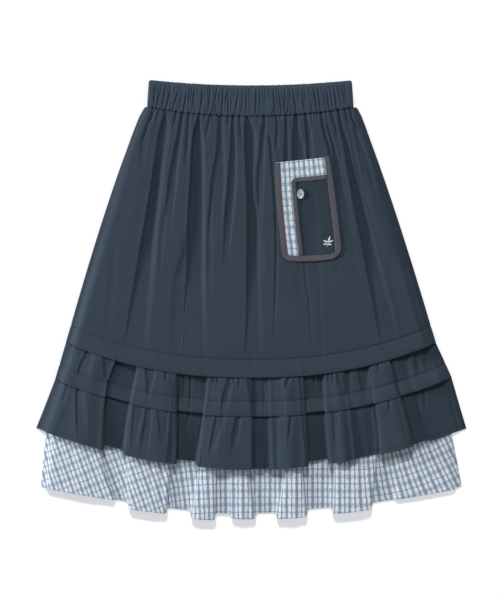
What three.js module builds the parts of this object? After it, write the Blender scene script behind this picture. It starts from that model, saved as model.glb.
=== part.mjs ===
import * as THREE from 'three';

// Tiered ruffle skirt, laid flat on its back with its front up. Millimetres.
// X runs across the skirt, Y from the hem up to the waist, Z up from the table.
// A row of cloth is placed by its depth: how far it hangs below the waistband
// seam, measured down the middle of the skirt.

// Driving dimensions
const CLOTH = 1.2;
const GAP = 0.3;
const LIFT = 0.5;
const HALF_CLOTH = CLOTH / 2;
const TUCK_THICKNESS = 2 * CLOTH;
const BAND_LEFT = -157;
const BAND_RIGHT = 152;
const BAND_HEIGHT_FRONT = 43;
const BAND_HEIGHT_BACK = 47.2;
const BAND_CURVE = 8.3;
const BAND_THICKNESS = 3;
const BAND_RIBS = 32;
const SEAM_Y = 276.3;
const MIDDLE_X = -1;
const MIDDLE_Y = 2.1;
const STITCH_1 = 364;
const STITCH_2 = 425;
const POCKET_WIDTH = 86;
const POCKET_HEIGHT = 148;
const TAPE_WIDTH = 8.5;
const NARROW_TAPE_WIDTH = 6.6;
const PATCH_THICKNESS = 1;
const BUTTON_WIDTH = 10.4;
const BUTTON_LENGTH = 14.6;
const BUTTON_THICKNESS = 2.4;

const NAVY = { color: 0x333f4d, roughness: 0.85, metalness: 0 };
const CHECK = { color: 0xaebccb, roughness: 0.85, metalness: 0 };
const TAPE = { color: 0x57565f, roughness: 0.7, metalness: 0 };
const SHELL = { color: 0xc6d0da, roughness: 0.3, metalness: 0 };

// Depths of the rows that the fold tables name
const STATIONS = { waist: 0, hip: 162, thigh: 305, tuck: 391, tier: 446, hem: 520 };
const FRILL_STATIONS = { under: 462, hem: 522, frill: 593 };

// How much each row of cloth curves up towards the sides
const ARCS = [
  { depth: 0, rise: 14, half: 156, power: 2.3 },
  { depth: 391, rise: 53, half: 277, power: 2.3 },
  { depth: 446, rise: 57, half: 296, power: 2.3 },
  { depth: 520, rise: 60, half: 322, power: 2.0 },
  { depth: 593, rise: 39, half: 315, power: 1.6 },
];

// Side seams of the dark layers and of the checked frill
const SIDES = [
  { depth: 0, left: -157.5, right: 154.5 },
  { depth: 391, left: -278, right: 275 },
  { depth: 446, left: -294, right: 298.5 },
  { depth: 520, left: -323, right: 321 },
];
const FRILL_SIDES = [
  { depth: 462, left: -283, right: 277 },
  { depth: 522, left: -308, right: 298 },
  { depth: 593, left: -316, right: 314 },
];
const HIP_BULGE_LEFT = 20;
const HIP_BULGE_RIGHT = 15.6;

// Folds of the dark front from left to right: ridges and valleys in turn. Each
// column but the last two is the height over the table at that station. Reach is
// how much of the hem's drop the fold takes, gathers the small pleats under a tuck.
const FRONT_FOLDS = [
  { waist: 4.8, hip: 7.0, thigh: 9.5, tuck: 12.5, tier: 15.0, hem: 18.0, reach: 1.0, gathers: 4 },
  { waist: 4.8, hip: 4.4, thigh: 4.4, tuck: 5.4, tier: 6.6, hem: 6.5, reach: 0.0, gathers: 2 },
  { waist: 4.8, hip: 7.5, thigh: 10.0, tuck: 13.5, tier: 17.0, hem: 22.0, reach: 1.0, gathers: 5 },
  { waist: 4.8, hip: 3.8, thigh: 3.8, tuck: 5.4, tier: 6.6, hem: 6.3, reach: 0.0, gathers: 3 },
  { waist: 4.8, hip: 8.0, thigh: 10.5, tuck: 13.5, tier: 17.0, hem: 23.0, reach: 1.0, gathers: 4 },
  { waist: 4.8, hip: 4.2, thigh: 4.4, tuck: 5.4, tier: 6.6, hem: 6.6, reach: 0.6, gathers: 1 },
  { waist: 4.8, hip: 7.0, thigh: 9.5, tuck: 13.0, tier: 16.5, hem: 22.0, reach: 1.0, gathers: 3 },
  { waist: 4.8, hip: 4.8, thigh: 4.6, tuck: 5.4, tier: 6.6, hem: 6.3, reach: 0.0, gathers: 2 },
  { waist: 4.8, hip: 7.5, thigh: 10.5, tuck: 13.0, tier: 16.5, hem: 22.5, reach: 0.9, gathers: 2 },
  { waist: 4.8, hip: 7.5, thigh: 10.5, tuck: 11.5, tier: 12.5, hem: 13.5, reach: 0.7, gathers: 2 },
  { waist: 4.8, hip: 8.0, thigh: 11.0, tuck: 13.5, tier: 17.0, hem: 23.0, reach: 0.9, gathers: 1 },
  { waist: 4.8, hip: 4.2, thigh: 4.4, tuck: 5.4, tier: 6.6, hem: 7.0, reach: 0.4, gathers: 2 },
  { waist: 4.8, hip: 6.5, thigh: 8.5, tuck: 10.0, tier: 13.0, hem: 16.0, reach: 1.0, gathers: 1 },
];

// The edge between each fold and the next: its place across the skirt at each
// station, the radius it bends over in the panel and in the tiers, and how steep
// its flank may stand in degrees. Over 90 it overhangs.
const FRONT_EDGES = [
  { waist: -138, hip: -157, thigh: -184, tuck: -202, tier: -217, hem: -222, panel: 3, tiers: 5, steep: 85 },
  { waist: -130, hip: -142, thigh: -155, tuck: -169, tier: -178, hem: -192, panel: 4, tiers: 5, steep: 75 },
  { waist: -88, hip: -94, thigh: -99, tuck: -109, tier: -110, hem: -113, panel: 3, tiers: 5, steep: 104 },
  { waist: -75, hip: -73, thigh: -71, tuck: -66, tier: -70.5, hem: -82.5, panel: 4, tiers: 6, steep: 75 },
  { waist: -12, hip: -6, thigh: -6, tuck: -1.5, tier: 2, hem: 1.5, panel: 3, tiers: 5, steep: 92 },
  { waist: 6, hip: 14, thigh: 22, tuck: 24, tier: 25.5, hem: 27, panel: 10, tiers: 14, steep: 45 },
  { waist: 63, hip: 69, thigh: 67, tuck: 75, tier: 79, hem: 82.5, panel: 4, tiers: 5, steep: 96 },
  { waist: 79.5, hip: 99, thigh: 106.5, tuck: 107.5, tier: 109, hem: 115, panel: 6, tiers: 5, steep: 78 },
  { waist: 113, hip: 130, thigh: 136, tuck: 136.5, tier: 140, hem: 150, panel: 8, tiers: 8, steep: 60 },
  { waist: 123, hip: 146, thigh: 164, tuck: 174, tier: 175, hem: 190.5, panel: 8, tiers: 8, steep: 55 },
  { waist: 132, hip: 158, thigh: 184, tuck: 205, tier: 214.5, hem: 240, panel: 3, tiers: 5, steep: 100 },
  { waist: 142, hip: 178, thigh: 221, tuck: 245, tier: 268, hem: 291, panel: 10, tiers: 14, steep: 40 },
];
const SIDE_ROLL = { waist: 4, hip: 6, thigh: 7, tuck: 8, tier: 9, hem: 11 };
const SIDE_BEND = { panel: 6, tiers: 6, steep: 60 };
const STEEP_FLANK = 70;

// Folds and edges of the checked frill, at its own stations
const FRILL_FOLDS = [
  { under: 5.0, hem: 9.5, frill: 11.5, reach: 0.1, gathers: 3 },
  { under: 3.6, hem: 3.6, frill: 2.4, reach: 0.0, gathers: 1 },
  { under: 6.0, hem: 11.0, frill: 14.0, reach: 1.0, gathers: 1 },
  { under: 3.6, hem: 3.6, frill: 2.3, reach: 0.2, gathers: 1 },
  { under: 6.0, hem: 11.0, frill: 14.5, reach: 1.3, gathers: 1 },
  { under: 4.5, hem: 6.0, frill: 4.5, reach: 0.3, gathers: 1 },
  { under: 6.0, hem: 11.0, frill: 13.0, reach: 0.9, gathers: 1 },
  { under: 3.6, hem: 3.6, frill: 2.4, reach: 0.1, gathers: 1 },
  { under: 6.0, hem: 11.0, frill: 14.0, reach: 1.0, gathers: 1 },
  { under: 3.6, hem: 3.6, frill: 2.3, reach: 0.0, gathers: 1 },
  { under: 5.5, hem: 10.0, frill: 14.0, reach: 1.0, gathers: 2 },
  { under: 3.6, hem: 3.6, frill: 2.6, reach: 0.1, gathers: 1 },
  { under: 3.7, hem: 4.2, frill: 7.5, reach: 0.2, gathers: 3 },
];
const FRILL_EDGES = [
  { under: -223.5, hem: -228, frill: -206, radius: 5, steep: 80 },
  { under: -171, hem: -185, frill: -184.5, radius: 5, steep: 80 },
  { under: -118.5, hem: -121.5, frill: -128, radius: 5, steep: 95 },
  { under: -63, hem: -75, frill: -91, radius: 5, steep: 90 },
  { under: -49.5, hem: -52.5, frill: -55.5, radius: 4, steep: 85 },
  { under: -36, hem: -33, frill: -30, radius: 4, steep: 75 },
  { under: -6, hem: -6, frill: 5, radius: 5, steep: 85 },
  { under: 51, hem: 52.5, frill: 37, radius: 5, steep: 80 },
  { under: 70.5, hem: 74, frill: 82, radius: 5, steep: 95 },
  { under: 115.5, hem: 123, frill: 121, radius: 5, steep: 85 },
  { under: 180, hem: 186, frill: 178.5, radius: 5, steep: 95 },
  { under: 207, hem: 214, frill: 216, radius: 8, steep: 45 },
];
const FRILL_ROLL = { under: 6, hem: 8, frill: 9 };
const FRILL_BEND = { radius: 6, steep: 55 };

// Heights of the front's side edges, just over the layers of the back there
const SIDE_HEIGHTS = [
  { depth: 366, height: 2.1 },
  { depth: 370, height: 3.6 },
  { depth: 402, height: 3.6 },
  { depth: 412, height: 2.1 },
  { depth: 426, height: 2.1 },
  { depth: 432, height: 3.6 },
  { depth: 459, height: 3.6 },
  { depth: 468, height: 2.1 },
];
const FRILL_SIDE_HEIGHTS = [
  { depth: 524, height: 3.6 },
  { depth: 534, height: 2.1 },
];

// Corners of the pocket on the panel, and how far its edges bow out
const POCKET_CORNERS = {
  topLeft: { x: 34.2, y: 206.7 },
  topRight: { x: 116.1, y: 215.3 },
  lowRight: { x: 135, y: 65 },
  lowLeft: { x: 46.5, y: 60.5 },
};
const POCKET_BOWS = { left: 2.2, right: 1.2, low: 3.5 };
const POCKET_ROUND_LEFT = 11;
const POCKET_ROUND_RIGHT = 16;
const PATCH_LEFT = 23.5;
const PATCH_TOP = 25;
const PATCH_ROUND = 7.5;
const TAPE_LAP = 2.5;
const POCKET_GAP = 0.45;
const BUTTON_PLACE = { a: 35.8, b: 49.5 };

// Rows of cloth in each front piece
const PANEL_ROWS = [0, 12, 34, 70, 120, 190, 270, 358, 369, STATIONS.tuck];
const UPPER_ROWS = [373, 394, 408, 421, 431, STATIONS.tier];
const LOWER_ROWS = [436, 449, 466, 492, STATIONS.hem];
const FRILL_ROWS = [464, 522, 548, 572, FRILL_STATIONS.frill];

// Gathers under the waistband fade down the panel as the large folds form. Each
// fold is crowned by a share of its height over the valley floors.
const GATHER_DEPTH = 4;
const GATHER_FADE = 62;
const GATHERS_END = 10;
const FOLDS_START = 240;
const GATHER_SHAPE = [0.5, -0.1, -0.5, -0.1];
const PLEAT_DEPTH = 1.5;
const PLEAT_UNEVEN = 0.3;
const NARROWEST_EDGE = 4;
const FLOOR_HEIGHT = 5;
const CROWN = 0.18;
const HEM_DROP = 7;
const FRILL_DROP = 10.5;

function lerp(from, to, part) {
  return from + (to - from) * part;
}

function ramp(from, to, value) {
  return Math.min(1, Math.max(0, (value - from) / (to - from)));
}

function smoothRamp(from, to, value) {
  const part = ramp(from, to, value);
  return part * part * (3 - 2 * part);
}

// Straight lines through a table whose rows each give a depth
function lineThrough(table, column, depth) {
  const next = table.findIndex((row) => row.depth > depth);
  if (next === 0) return table[0][column];
  if (next < 0) return table[table.length - 1][column];
  const above = table[next - 1];
  const below = table[next];
  return lerp(above[column], below[column], ramp(above.depth, below.depth, depth));
}

// A smooth curve through the values that a table row gives at the stations
function curveThrough(row, stations, depth) {
  const names = Object.keys(stations);
  const depths = names.map((name) => stations[name]);
  const values = names.map((name) => row[name]);
  const last = depths.length - 1;
  if (depth <= depths[0]) return values[0];
  if (depth >= depths[last]) return values[last];
  const slope = (i) => {
    const before = Math.max(i - 1, 0);
    const after = Math.min(i + 1, last);
    return (values[after] - values[before]) / (depths[after] - depths[before]);
  };
  const k = depths.findIndex((value) => value > depth) - 1;
  const span = depths[k + 1] - depths[k];
  const t = (depth - depths[k]) / span;
  const u = 1 - t;
  return values[k] * u * u * (1 + 2 * t) + values[k + 1] * t * t * (1 + 2 * u)
    + slope(k) * span * t * u * u - slope(k + 1) * span * t * t * u;
}

function rowY(x, depth) {
  const rise = lineThrough(ARCS, 'rise', depth);
  const half = lineThrough(ARCS, 'half', depth);
  const power = lineThrough(ARCS, 'power', depth);
  return SEAM_Y - depth + rise * Math.abs(x / half) ** power;
}

function hipBulge(depth) {
  const part = ramp(STATIONS.waist, STATIONS.tuck, depth);
  return Math.sqrt(part) * (1 - part);
}

function leftSide(depth) {
  return lineThrough(SIDES, 'left', depth) - HIP_BULGE_LEFT * hipBulge(depth);
}

function rightSide(depth) {
  return lineThrough(SIDES, 'right', depth) + HIP_BULGE_RIGHT * hipBulge(depth);
}

// One edge where cloth bends down and up again: each point as its part of the
// way across and of the way up. The two bends take at most four fifths of the way.
function edgeShape(change, radius, steep, bends) {
  const size = Math.max(0.2, Math.abs(change));
  const bendShare = 0.4;
  const gentlest = Math.acos(Math.max(-1, 1 - bendShare * size / radius));
  const angle = Math.min(THREE.MathUtils.degToRad(steep), gentlest);
  const drop = 2 * radius * (1 - Math.cos(angle));
  const flank = (size - drop) / Math.sin(angle);
  const width = 2 * radius * Math.sin(angle) + flank * Math.cos(angle);
  const first = [];
  for (let i = 0; i <= bends; i += 1) {
    const turn = angle * i / bends;
    first.push({
      across: radius * Math.sin(turn) / width,
      up: radius * (1 - Math.cos(turn)) / size,
    });
  }
  const second = first.map(({ across, up }) => ({ across: 1 - across, up: 1 - up })).reverse();
  return { width, points: [...first, ...second] };
}

// The points of one row of cloth, from its left side to its right side
function foldRow(row) {
  const sideReach = row.folds[0].reach;
  const points = [{ x: row.left, z: row.sideHeight, reach: sideReach, pleat: 0 }];
  let start = row.left;
  row.edges.forEach((edge, k) => {
    const fold = row.folds[k];
    const next = row.folds[k + 1];
    const shape = edgeShape(next.height - fold.height, edge.radius, edge.steep, edge.bends);
    const width = Math.max(shape.width, NARROWEST_EDGE);
    const end = edge.place - width / 2;
    const inner = 2 * fold.gathers;
    for (let i = 1; i < inner; i += 1) {
      const uneven = PLEAT_UNEVEN * Math.sin(2.3 * i + k);
      const part = (i + uneven) / inner;
      const raised = Math.max(0, fold.height - FLOOR_HEIGHT);
      const z = fold.height + CROWN * raised * Math.sin(Math.PI * part) ** 2;
      points.push({ x: lerp(start, end, part), z, reach: fold.reach, pleat: i % 2 });
    }
    shape.points.forEach(({ across, up }) => {
      points.push({
        x: end + width * across,
        z: lerp(fold.height, next.height, up),
        reach: lerp(fold.reach, next.reach, up),
        pleat: 0,
      });
    });
    start = end + width;
  });
  points.push({ x: row.right, z: row.sideHeight, reach: sideReach, pleat: 0 });
  return points;
}

function frontPlaces(depth) {
  const roll = curveThrough(SIDE_ROLL, STATIONS, depth);
  const inner = FRONT_EDGES.map((edge) => curveThrough(edge, STATIONS, depth));
  return [leftSide(depth) + roll, ...inner, rightSide(depth) - roll];
}

function frontFoldRow(depth) {
  const sideHeight = lineThrough(SIDE_HEIGHTS, 'height', depth);
  const side = { height: sideHeight, reach: 1, gathers: 0 };
  const folds = FRONT_FOLDS.map((fold) => (
    { height: curveThrough(fold, STATIONS, depth), reach: fold.reach, gathers: fold.gathers }
  ));
  const places = frontPlaces(depth);
  const tiers = smoothRamp(335, STITCH_1, depth);
  const edges = [SIDE_BEND, ...FRONT_EDGES, SIDE_BEND].map((edge, k) => ({
    place: places[k],
    radius: lerp(edge.panel, edge.tiers, tiers),
    steep: edge.steep,
    bends: edge.steep > STEEP_FLANK ? 2 : 1,
  }));
  return foldRow({
    left: leftSide(depth),
    right: rightSide(depth),
    sideHeight,
    folds: [side, ...folds, side],
    edges,
  });
}

// Places of the gathers under the waistband, four columns of cloth to each
function waistColumn(j, count, depth) {
  const uneven = PLEAT_UNEVEN * Math.sin(1.7 * Math.round(j / 4));
  const inside = j > 0 && j < count;
  const part = inside ? THREE.MathUtils.clamp((j + 4 * uneven) / count, 0, 1) : j / count;
  const waist = [leftSide(0), ...frontPlaces(0), rightSide(0)];
  const here = [leftSide(depth), ...frontPlaces(depth), rightSide(depth)];
  const x = lerp(waist[0], waist[waist.length - 1], part);
  const next = Math.max(1, waist.findIndex((value) => value >= x - 1e-6));
  return lerp(here[next - 1], here[next], ramp(waist[next - 1], waist[next], x));
}

function heightAt(points, x) {
  const next = Math.max(1, points.findIndex((point) => point.x >= x - 1e-6));
  return lerp(points[next - 1].z, points[next].z, ramp(points[next - 1].x, points[next].x, x));
}

function panelRow(depth) {
  const folded = frontFoldRow(depth);
  const blend = smoothRamp(GATHERS_END, FOLDS_START, depth);
  const count = folded.length - 1;
  const fade = GATHER_DEPTH * Math.exp(-depth / GATHER_FADE) * (1 - smoothRamp(100, 220, depth));
  return folded.map((point, j) => {
    const x = blend < 1 ? lerp(waistColumn(j, count, depth), point.x, blend) : point.x;
    const base = blend < 1 ? heightAt(folded, x) : point.z;
    const inside = j > 1 && j < count - 1;
    const gather = inside ? -fade * GATHER_SHAPE[j % 4] : 0;
    return new THREE.Vector3(x, rowY(x, depth), base + gather);
  });
}

// Small pleats sink below the folds just under the seam that gathers them
function tierRow(depth, seam) {
  const above = smoothRamp(seam - 40, seam - 12, depth);
  const below = 1 - smoothRamp(seam + 4, seam + 45, depth);
  const sink = PLEAT_DEPTH * above * below;
  const drop = HEM_DROP * smoothRamp(STATIONS.tuck, STATIONS.hem, depth);
  return frontFoldRow(depth).map((point) => {
    const y = rowY(point.x, depth) - drop * point.reach;
    return new THREE.Vector3(point.x, y, point.z - sink * point.pleat);
  });
}

function frillRow(depth) {
  const sideHeight = lineThrough(FRILL_SIDE_HEIGHTS, 'height', depth);
  const side = { height: sideHeight, reach: 0, gathers: 0 };
  const left = lineThrough(FRILL_SIDES, 'left', depth);
  const right = lineThrough(FRILL_SIDES, 'right', depth);
  const roll = curveThrough(FRILL_ROLL, FRILL_STATIONS, depth);
  const inner = FRILL_EDGES.map((edge) => ({ ...edge, place: curveThrough(edge, FRILL_STATIONS, depth) }));
  const edges = [
    { ...FRILL_BEND, place: left + roll },
    ...inner,
    { ...FRILL_BEND, place: right - roll },
  ].map((edge) => ({ ...edge, bends: 1 }));
  const folds = FRILL_FOLDS.map((fold) => (
    { height: curveThrough(fold, FRILL_STATIONS, depth), reach: fold.reach, gathers: fold.gathers }
  ));
  const drop = FRILL_DROP * smoothRamp(FRILL_STATIONS.hem, FRILL_STATIONS.frill, depth);
  const points = foldRow({ left, right, sideHeight, folds: [side, ...folds, side], edges });
  return points.map((point) => (
    new THREE.Vector3(point.x, rowY(point.x, depth) - drop * point.reach, point.z)
  ));
}

// A closed body between an upper and a lower grid of points
function closedBody(upper, lower) {
  const rows = upper.length;
  const columns = upper[0].length;
  const points = [...upper.flat(), ...lower.flat()];
  const top = (i, j) => i * columns + j;
  const under = (i, j) => rows * columns + i * columns + j;
  const faces = [];
  const quad = (a, b, c, d) => faces.push(a, b, c, a, c, d);
  for (let i = 0; i < rows - 1; i += 1) {
    for (let j = 0; j < columns - 1; j += 1) {
      quad(top(i, j), top(i + 1, j), top(i + 1, j + 1), top(i, j + 1));
      quad(under(i, j), under(i, j + 1), under(i + 1, j + 1), under(i + 1, j));
    }
    const right = columns - 1;
    quad(top(i + 1, 0), top(i, 0), under(i, 0), under(i + 1, 0));
    quad(top(i, right), top(i + 1, right), under(i + 1, right), under(i, right));
  }
  for (let j = 0; j < columns - 1; j += 1) {
    const low = rows - 1;
    quad(top(low, j + 1), top(low, j), under(low, j), under(low, j + 1));
    quad(top(0, j), top(0, j + 1), under(0, j + 1), under(0, j));
  }
  const geometry = new THREE.BufferGeometry();
  const values = points.flatMap((p) => [p.x, p.y, p.z]);
  geometry.setAttribute('position', new THREE.Float32BufferAttribute(values, 3));
  geometry.setIndex(faces);
  geometry.computeVertexNormals();
  return geometry;
}

function normalsOf(grid) {
  const rows = grid.length;
  const columns = grid[0].length;
  return grid.map((row, i) => row.map((point, j) => {
    const across = row[Math.min(j + 1, columns - 1)].clone().sub(row[Math.max(j - 1, 0)]);
    const down = grid[Math.min(i + 1, rows - 1)][j].clone().sub(grid[Math.max(i - 1, 0)][j]);
    const normal = down.cross(across);
    if (i === 0 || i === rows - 1) normal.y = 0;
    return normal.normalize();
  }));
}

// A wall of cloth on a grid of points. The offset of a face says how far it lies
// from the grid in each row.
function clothFace(grid, offset) {
  const normals = normalsOf(grid);
  return grid.map((row, i) => row.map((point, j) => (
    point.clone().addScaledVector(normals[i][j], offset(i))
  )));
}

function clothWall(grid, offsets) {
  return closedBody(clothFace(grid, (i) => offsets(i).outer), clothFace(grid, (i) => offsets(i).inner));
}

const SINGLE = { outer: HALF_CLOTH, inner: -HALF_CLOTH };
const TUCKED = { outer: HALF_CLOTH + LIFT + TUCK_THICKNESS, inner: HALF_CLOTH + LIFT };

function part(name, geometry, finish) {
  const mesh = new THREE.Mesh(geometry, new THREE.MeshStandardMaterial(finish));
  mesh.name = name;
  return mesh;
}

// A flat layer of the back: lifts gives the height of its underside by depth
function backLayer(rows, sides, columns, lifts) {
  const grid = rows.map((depth) => {
    const left = sides.left(depth);
    const right = sides.right(depth);
    const row = [];
    for (let j = 0; j <= columns; j += 1) {
      const x = lerp(left, right, j / columns);
      row.push(new THREE.Vector3(x, rowY(x, depth), lineThrough(lifts, 'height', depth)));
    }
    return row;
  });
  const upper = grid.map((row) => row.map((point) => point.clone().setZ(point.z + CLOTH)));
  return closedBody(upper, grid);
}

// The waistband: a casing over the elastic, ribbed by its gathers. Its rows run
// from its top edge down to its seam, and full says how full the casing is there.
const BAND_ROWS = [
  { down: 0, full: 0.35 },
  { down: 0.14, full: 1 },
  { down: 0.8, full: 1 },
  { down: 1, full: 0.5 },
];
const BAND_GAP = 0.5;
const RIB_SHAPE = [0, 0.75, 1, 0.75];
const RIB_UNEVEN = 0.008;

function bandRow(down, height, columns) {
  const row = [];
  for (let j = 0; j <= columns; j += 1) {
    const along = j / columns;
    const uneven = RIB_UNEVEN * Math.sin(1.9 * Math.round(j / 4)) * Math.sin(Math.PI * along);
    const x = lerp(BAND_LEFT, BAND_RIGHT, along + uneven);
    const seam = rowY(x, 0) + BAND_GAP;
    const top = SEAM_Y + height + BAND_CURVE * (x / BAND_LEFT) ** 2;
    row.push(new THREE.Vector3(x, lerp(top, seam, down), 0));
  }
  return row;
}

function bandHalf(height, floor, ribDepth, columns) {
  const lower = BAND_ROWS.map(({ down }) => (
    bandRow(down, height, columns).map((point) => point.setZ(floor))
  ));
  const upper = lower.map((row, i) => row.map((point, j) => {
    const { full } = BAND_ROWS[i];
    const side = Math.min(1, (0.4 + Math.min(j, columns - j)) / 2);
    const rib = ribDepth * RIB_SHAPE[j % 4] * full;
    const body = BAND_THICKNESS * lerp(0.7, 1, full);
    return point.clone().setZ(floor + (body + rib) * side);
  }));
  return closedBody(upper, lower);
}

// The pocket is laid out in its own plane: a runs from its left edge, b down from
// its top edge
function pocketPlace(a, b) {
  const p = a / POCKET_WIDTH;
  const q = b / POCKET_HEIGHT;
  const { topLeft, topRight, lowLeft, lowRight } = POCKET_CORNERS;
  const bowAcross = 4 * q * (1 - q) * (POCKET_BOWS.right * p - POCKET_BOWS.left * (1 - p));
  const bowDown = 4 * p * (1 - p) * POCKET_BOWS.low * q;
  return {
    x: lerp(lerp(topLeft.x, topRight.x, p), lerp(lowLeft.x, lowRight.x, p), q) + bowAcross,
    y: lerp(lerp(topLeft.y, topRight.y, p), lerp(lowLeft.y, lowRight.y, p), q) - bowDown,
  };
}

// Height of a face of cloth over a place, where a facet of its grid covers it
function faceHeight(grid, x, y) {
  const inTriangle = (p, q, r) => {
    const area = (q.x - p.x) * (r.y - p.y) - (r.x - p.x) * (q.y - p.y);
    const v = ((x - p.x) * (r.y - p.y) - (r.x - p.x) * (y - p.y)) / area;
    const w = ((q.x - p.x) * (y - p.y) - (x - p.x) * (q.y - p.y)) / area;
    if (v < -1e-9 || w < -1e-9 || v + w > 1 + 1e-9) return -Infinity;
    return p.z + v * (q.z - p.z) + w * (r.z - p.z);
  };
  let highest = -Infinity;
  for (let i = 0; i < grid.length - 1; i += 1) {
    for (let j = 0; j < grid[0].length - 1; j += 1) {
      const [a, b, c, d] = [grid[i][j], grid[i + 1][j], grid[i + 1][j + 1], grid[i][j + 1]];
      highest = Math.max(highest, inTriangle(a, b, c), inTriangle(a, c, d));
    }
  }
  return highest;
}

// The pocket bridges the small folds of the panel: a smooth surface through the
// highest cloth near each knot of a coarse net
const NET_STEP = 14;
const NET_REACH = 7;

function pocketNet(face) {
  const knots = [];
  for (let b = -NET_STEP; b <= POCKET_HEIGHT + NET_STEP; b += NET_STEP) {
    const row = [];
    for (let a = -NET_STEP; a <= POCKET_WIDTH + NET_STEP; a += NET_STEP) {
      let highest = 0;
      for (const shiftA of [-NET_REACH, 0, NET_REACH]) {
        for (const shiftB of [-NET_REACH, 0, NET_REACH]) {
          const { x, y } = pocketPlace(a + shiftA, b + shiftB);
          highest = Math.max(highest, faceHeight(face, x, y));
        }
      }
      row.push(highest);
    }
    knots.push(row);
  }
  return knots;
}

function splineWeights(t) {
  const u = 1 - t;
  return [u ** 3 / 6, (3 * t ** 3 - 6 * t ** 2 + 4) / 6, (3 * u ** 3 - 6 * u ** 2 + 4) / 6, t ** 3 / 6];
}

function netHeight(knots, a, b) {
  const column = a / NET_STEP + 1;
  const row = b / NET_STEP + 1;
  const j = THREE.MathUtils.clamp(Math.floor(column), 1, knots[0].length - 3);
  const i = THREE.MathUtils.clamp(Math.floor(row), 1, knots.length - 3);
  const across = splineWeights(column - j);
  const down = splineWeights(row - i);
  let height = 0;
  down.forEach((weight, di) => across.forEach((share, dj) => {
    height += weight * share * knots[i - 1 + di][j - 1 + dj];
  }));
  return height;
}

// One layer on the pocket's surface, from rows of places { a, b }
function pocketLayer(net, rows, base, thickness) {
  const grid = rows.map((row) => row.map(({ a, b }) => {
    const { x, y } = pocketPlace(a, b);
    return new THREE.Vector3(x, y, netHeight(net, a, b) + base);
  }));
  const upper = grid.map((row) => row.map((point) => point.clone().setZ(point.z + thickness)));
  return closedBody(upper, grid);
}

// A patch with rounded corners: insets(b) gives how far its sides pull in there
function patchRows(box, depths, columns, insets) {
  return depths.map((b) => {
    const { left, right } = insets(b);
    const row = [];
    for (let j = 0; j <= columns; j += 1) {
      row.push({ a: lerp(box.left + left, box.right - right, j / columns), b });
    }
    return row;
  });
}

function roundInset(radius, toEdge) {
  const reach = Math.max(0, radius - toEdge);
  return radius - Math.sqrt(radius ** 2 - reach ** 2);
}

// A tape along a path of straight runs and rounded corners, its width laid
// towards the side that the path turns to
function tapeRows(path, width, step) {
  const spine = [];
  const heading = (from, to) => {
    const length = Math.hypot(to.a - from.a, to.b - from.b);
    return { a: (to.a - from.a) / length, b: (to.b - from.b) / length, length };
  };
  let start = path[0];
  for (let k = 1; k < path.length; k += 1) {
    const corner = path[k];
    const round = corner.round || 0;
    const along = heading(start, corner);
    const run = along.length - round;
    const steps = Math.max(1, Math.round(run / step));
    for (let i = spine.length ? 1 : 0; i <= steps; i += 1) {
      const reach = run * i / steps;
      spine.push({
        a: start.a + along.a * reach,
        b: start.b + along.b * reach,
        da: along.a,
        db: along.b,
      });
    }
    if (round) {
      const next = heading(corner, path[k + 1]);
      const turns = 4;
      for (let i = 1; i <= turns; i += 1) {
        const angle = Math.PI * i / (2 * turns);
        const back = round * (1 - Math.sin(angle));
        const side = round * (1 - Math.cos(angle));
        spine.push({
          a: corner.a - along.a * back + next.a * side,
          b: corner.b - along.b * back + next.b * side,
          da: along.a * Math.cos(angle) + next.a * Math.sin(angle),
          db: along.b * Math.cos(angle) + next.b * Math.sin(angle),
        });
      }
      start = { a: corner.a + next.a * round, b: corner.b + next.b * round };
    }
  }
  return spine.map(({ a, b, da, db }) => [{ a, b }, { a: a + db * width, b: b - da * width }]);
}

function ellipsePoints(width, length, count, centre = 0) {
  const points = [];
  for (let i = 0; i < count; i += 1) {
    const angle = 2 * Math.PI * i / count;
    const y = centre + length / 2 * Math.sin(angle);
    points.push(new THREE.Vector2(width / 2 * Math.cos(angle), y));
  }
  return points;
}

function buttonBody() {
  const rim = 0.5;
  const hole = 2.2;
  const outline = new THREE.Shape(ellipsePoints(BUTTON_WIDTH - 2 * rim, BUTTON_LENGTH - 2 * rim, 24));
  for (const centre of [-1.6, 1.6]) {
    outline.holes.push(new THREE.Path(ellipsePoints(hole, hole, 8, centre)));
  }
  return new THREE.ExtrudeGeometry(outline, {
    depth: BUTTON_THICKNESS - 2 * rim,
    bevelThickness: rim,
    bevelSize: rim,
    bevelSegments: 1,
  }).translate(0, 0, rim);
}

const dark = {
  left: leftSide,
  right: rightSide,
};
const frillSides = {
  left: (depth) => lineThrough(FRILL_SIDES, 'left', depth),
  right: (depth) => lineThrough(FRILL_SIDES, 'right', depth),
};

const skirt = new THREE.Group();
skirt.position.set(-MIDDLE_X, -MIDDLE_Y, 0);

skirt.add(part('waistband_back', bandHalf(BAND_HEIGHT_BACK, 0, 0.6, BAND_RIBS), NAVY));
skirt.add(part('waistband_front', bandHalf(BAND_HEIGHT_FRONT, 4.2, 2, 4 * BAND_RIBS), NAVY));

const panelGrid = PANEL_ROWS.map((depth) => panelRow(depth));
const panelWall = (i) => (PANEL_ROWS[i] < STITCH_1 ? SINGLE : TUCKED);
skirt.add(part('skirt_front', clothWall(panelGrid, panelWall), NAVY));

const upperGrid = UPPER_ROWS.map((depth) => tierRow(depth, STATIONS.tuck));
const upperWall = (i) => (UPPER_ROWS[i] < STITCH_2 ? SINGLE : TUCKED);
skirt.add(part('ruffle_upper_front', clothWall(upperGrid, upperWall), NAVY));

const lowerGrid = LOWER_ROWS.map((depth) => tierRow(depth, STATIONS.tier));
skirt.add(part('ruffle_lower_front', clothWall(lowerGrid, () => SINGLE), NAVY));

const frillGrid = FRILL_ROWS.map((depth) => frillRow(depth));
skirt.add(part('check_frill_front', clothWall(frillGrid, () => SINGLE), CHECK));

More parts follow.
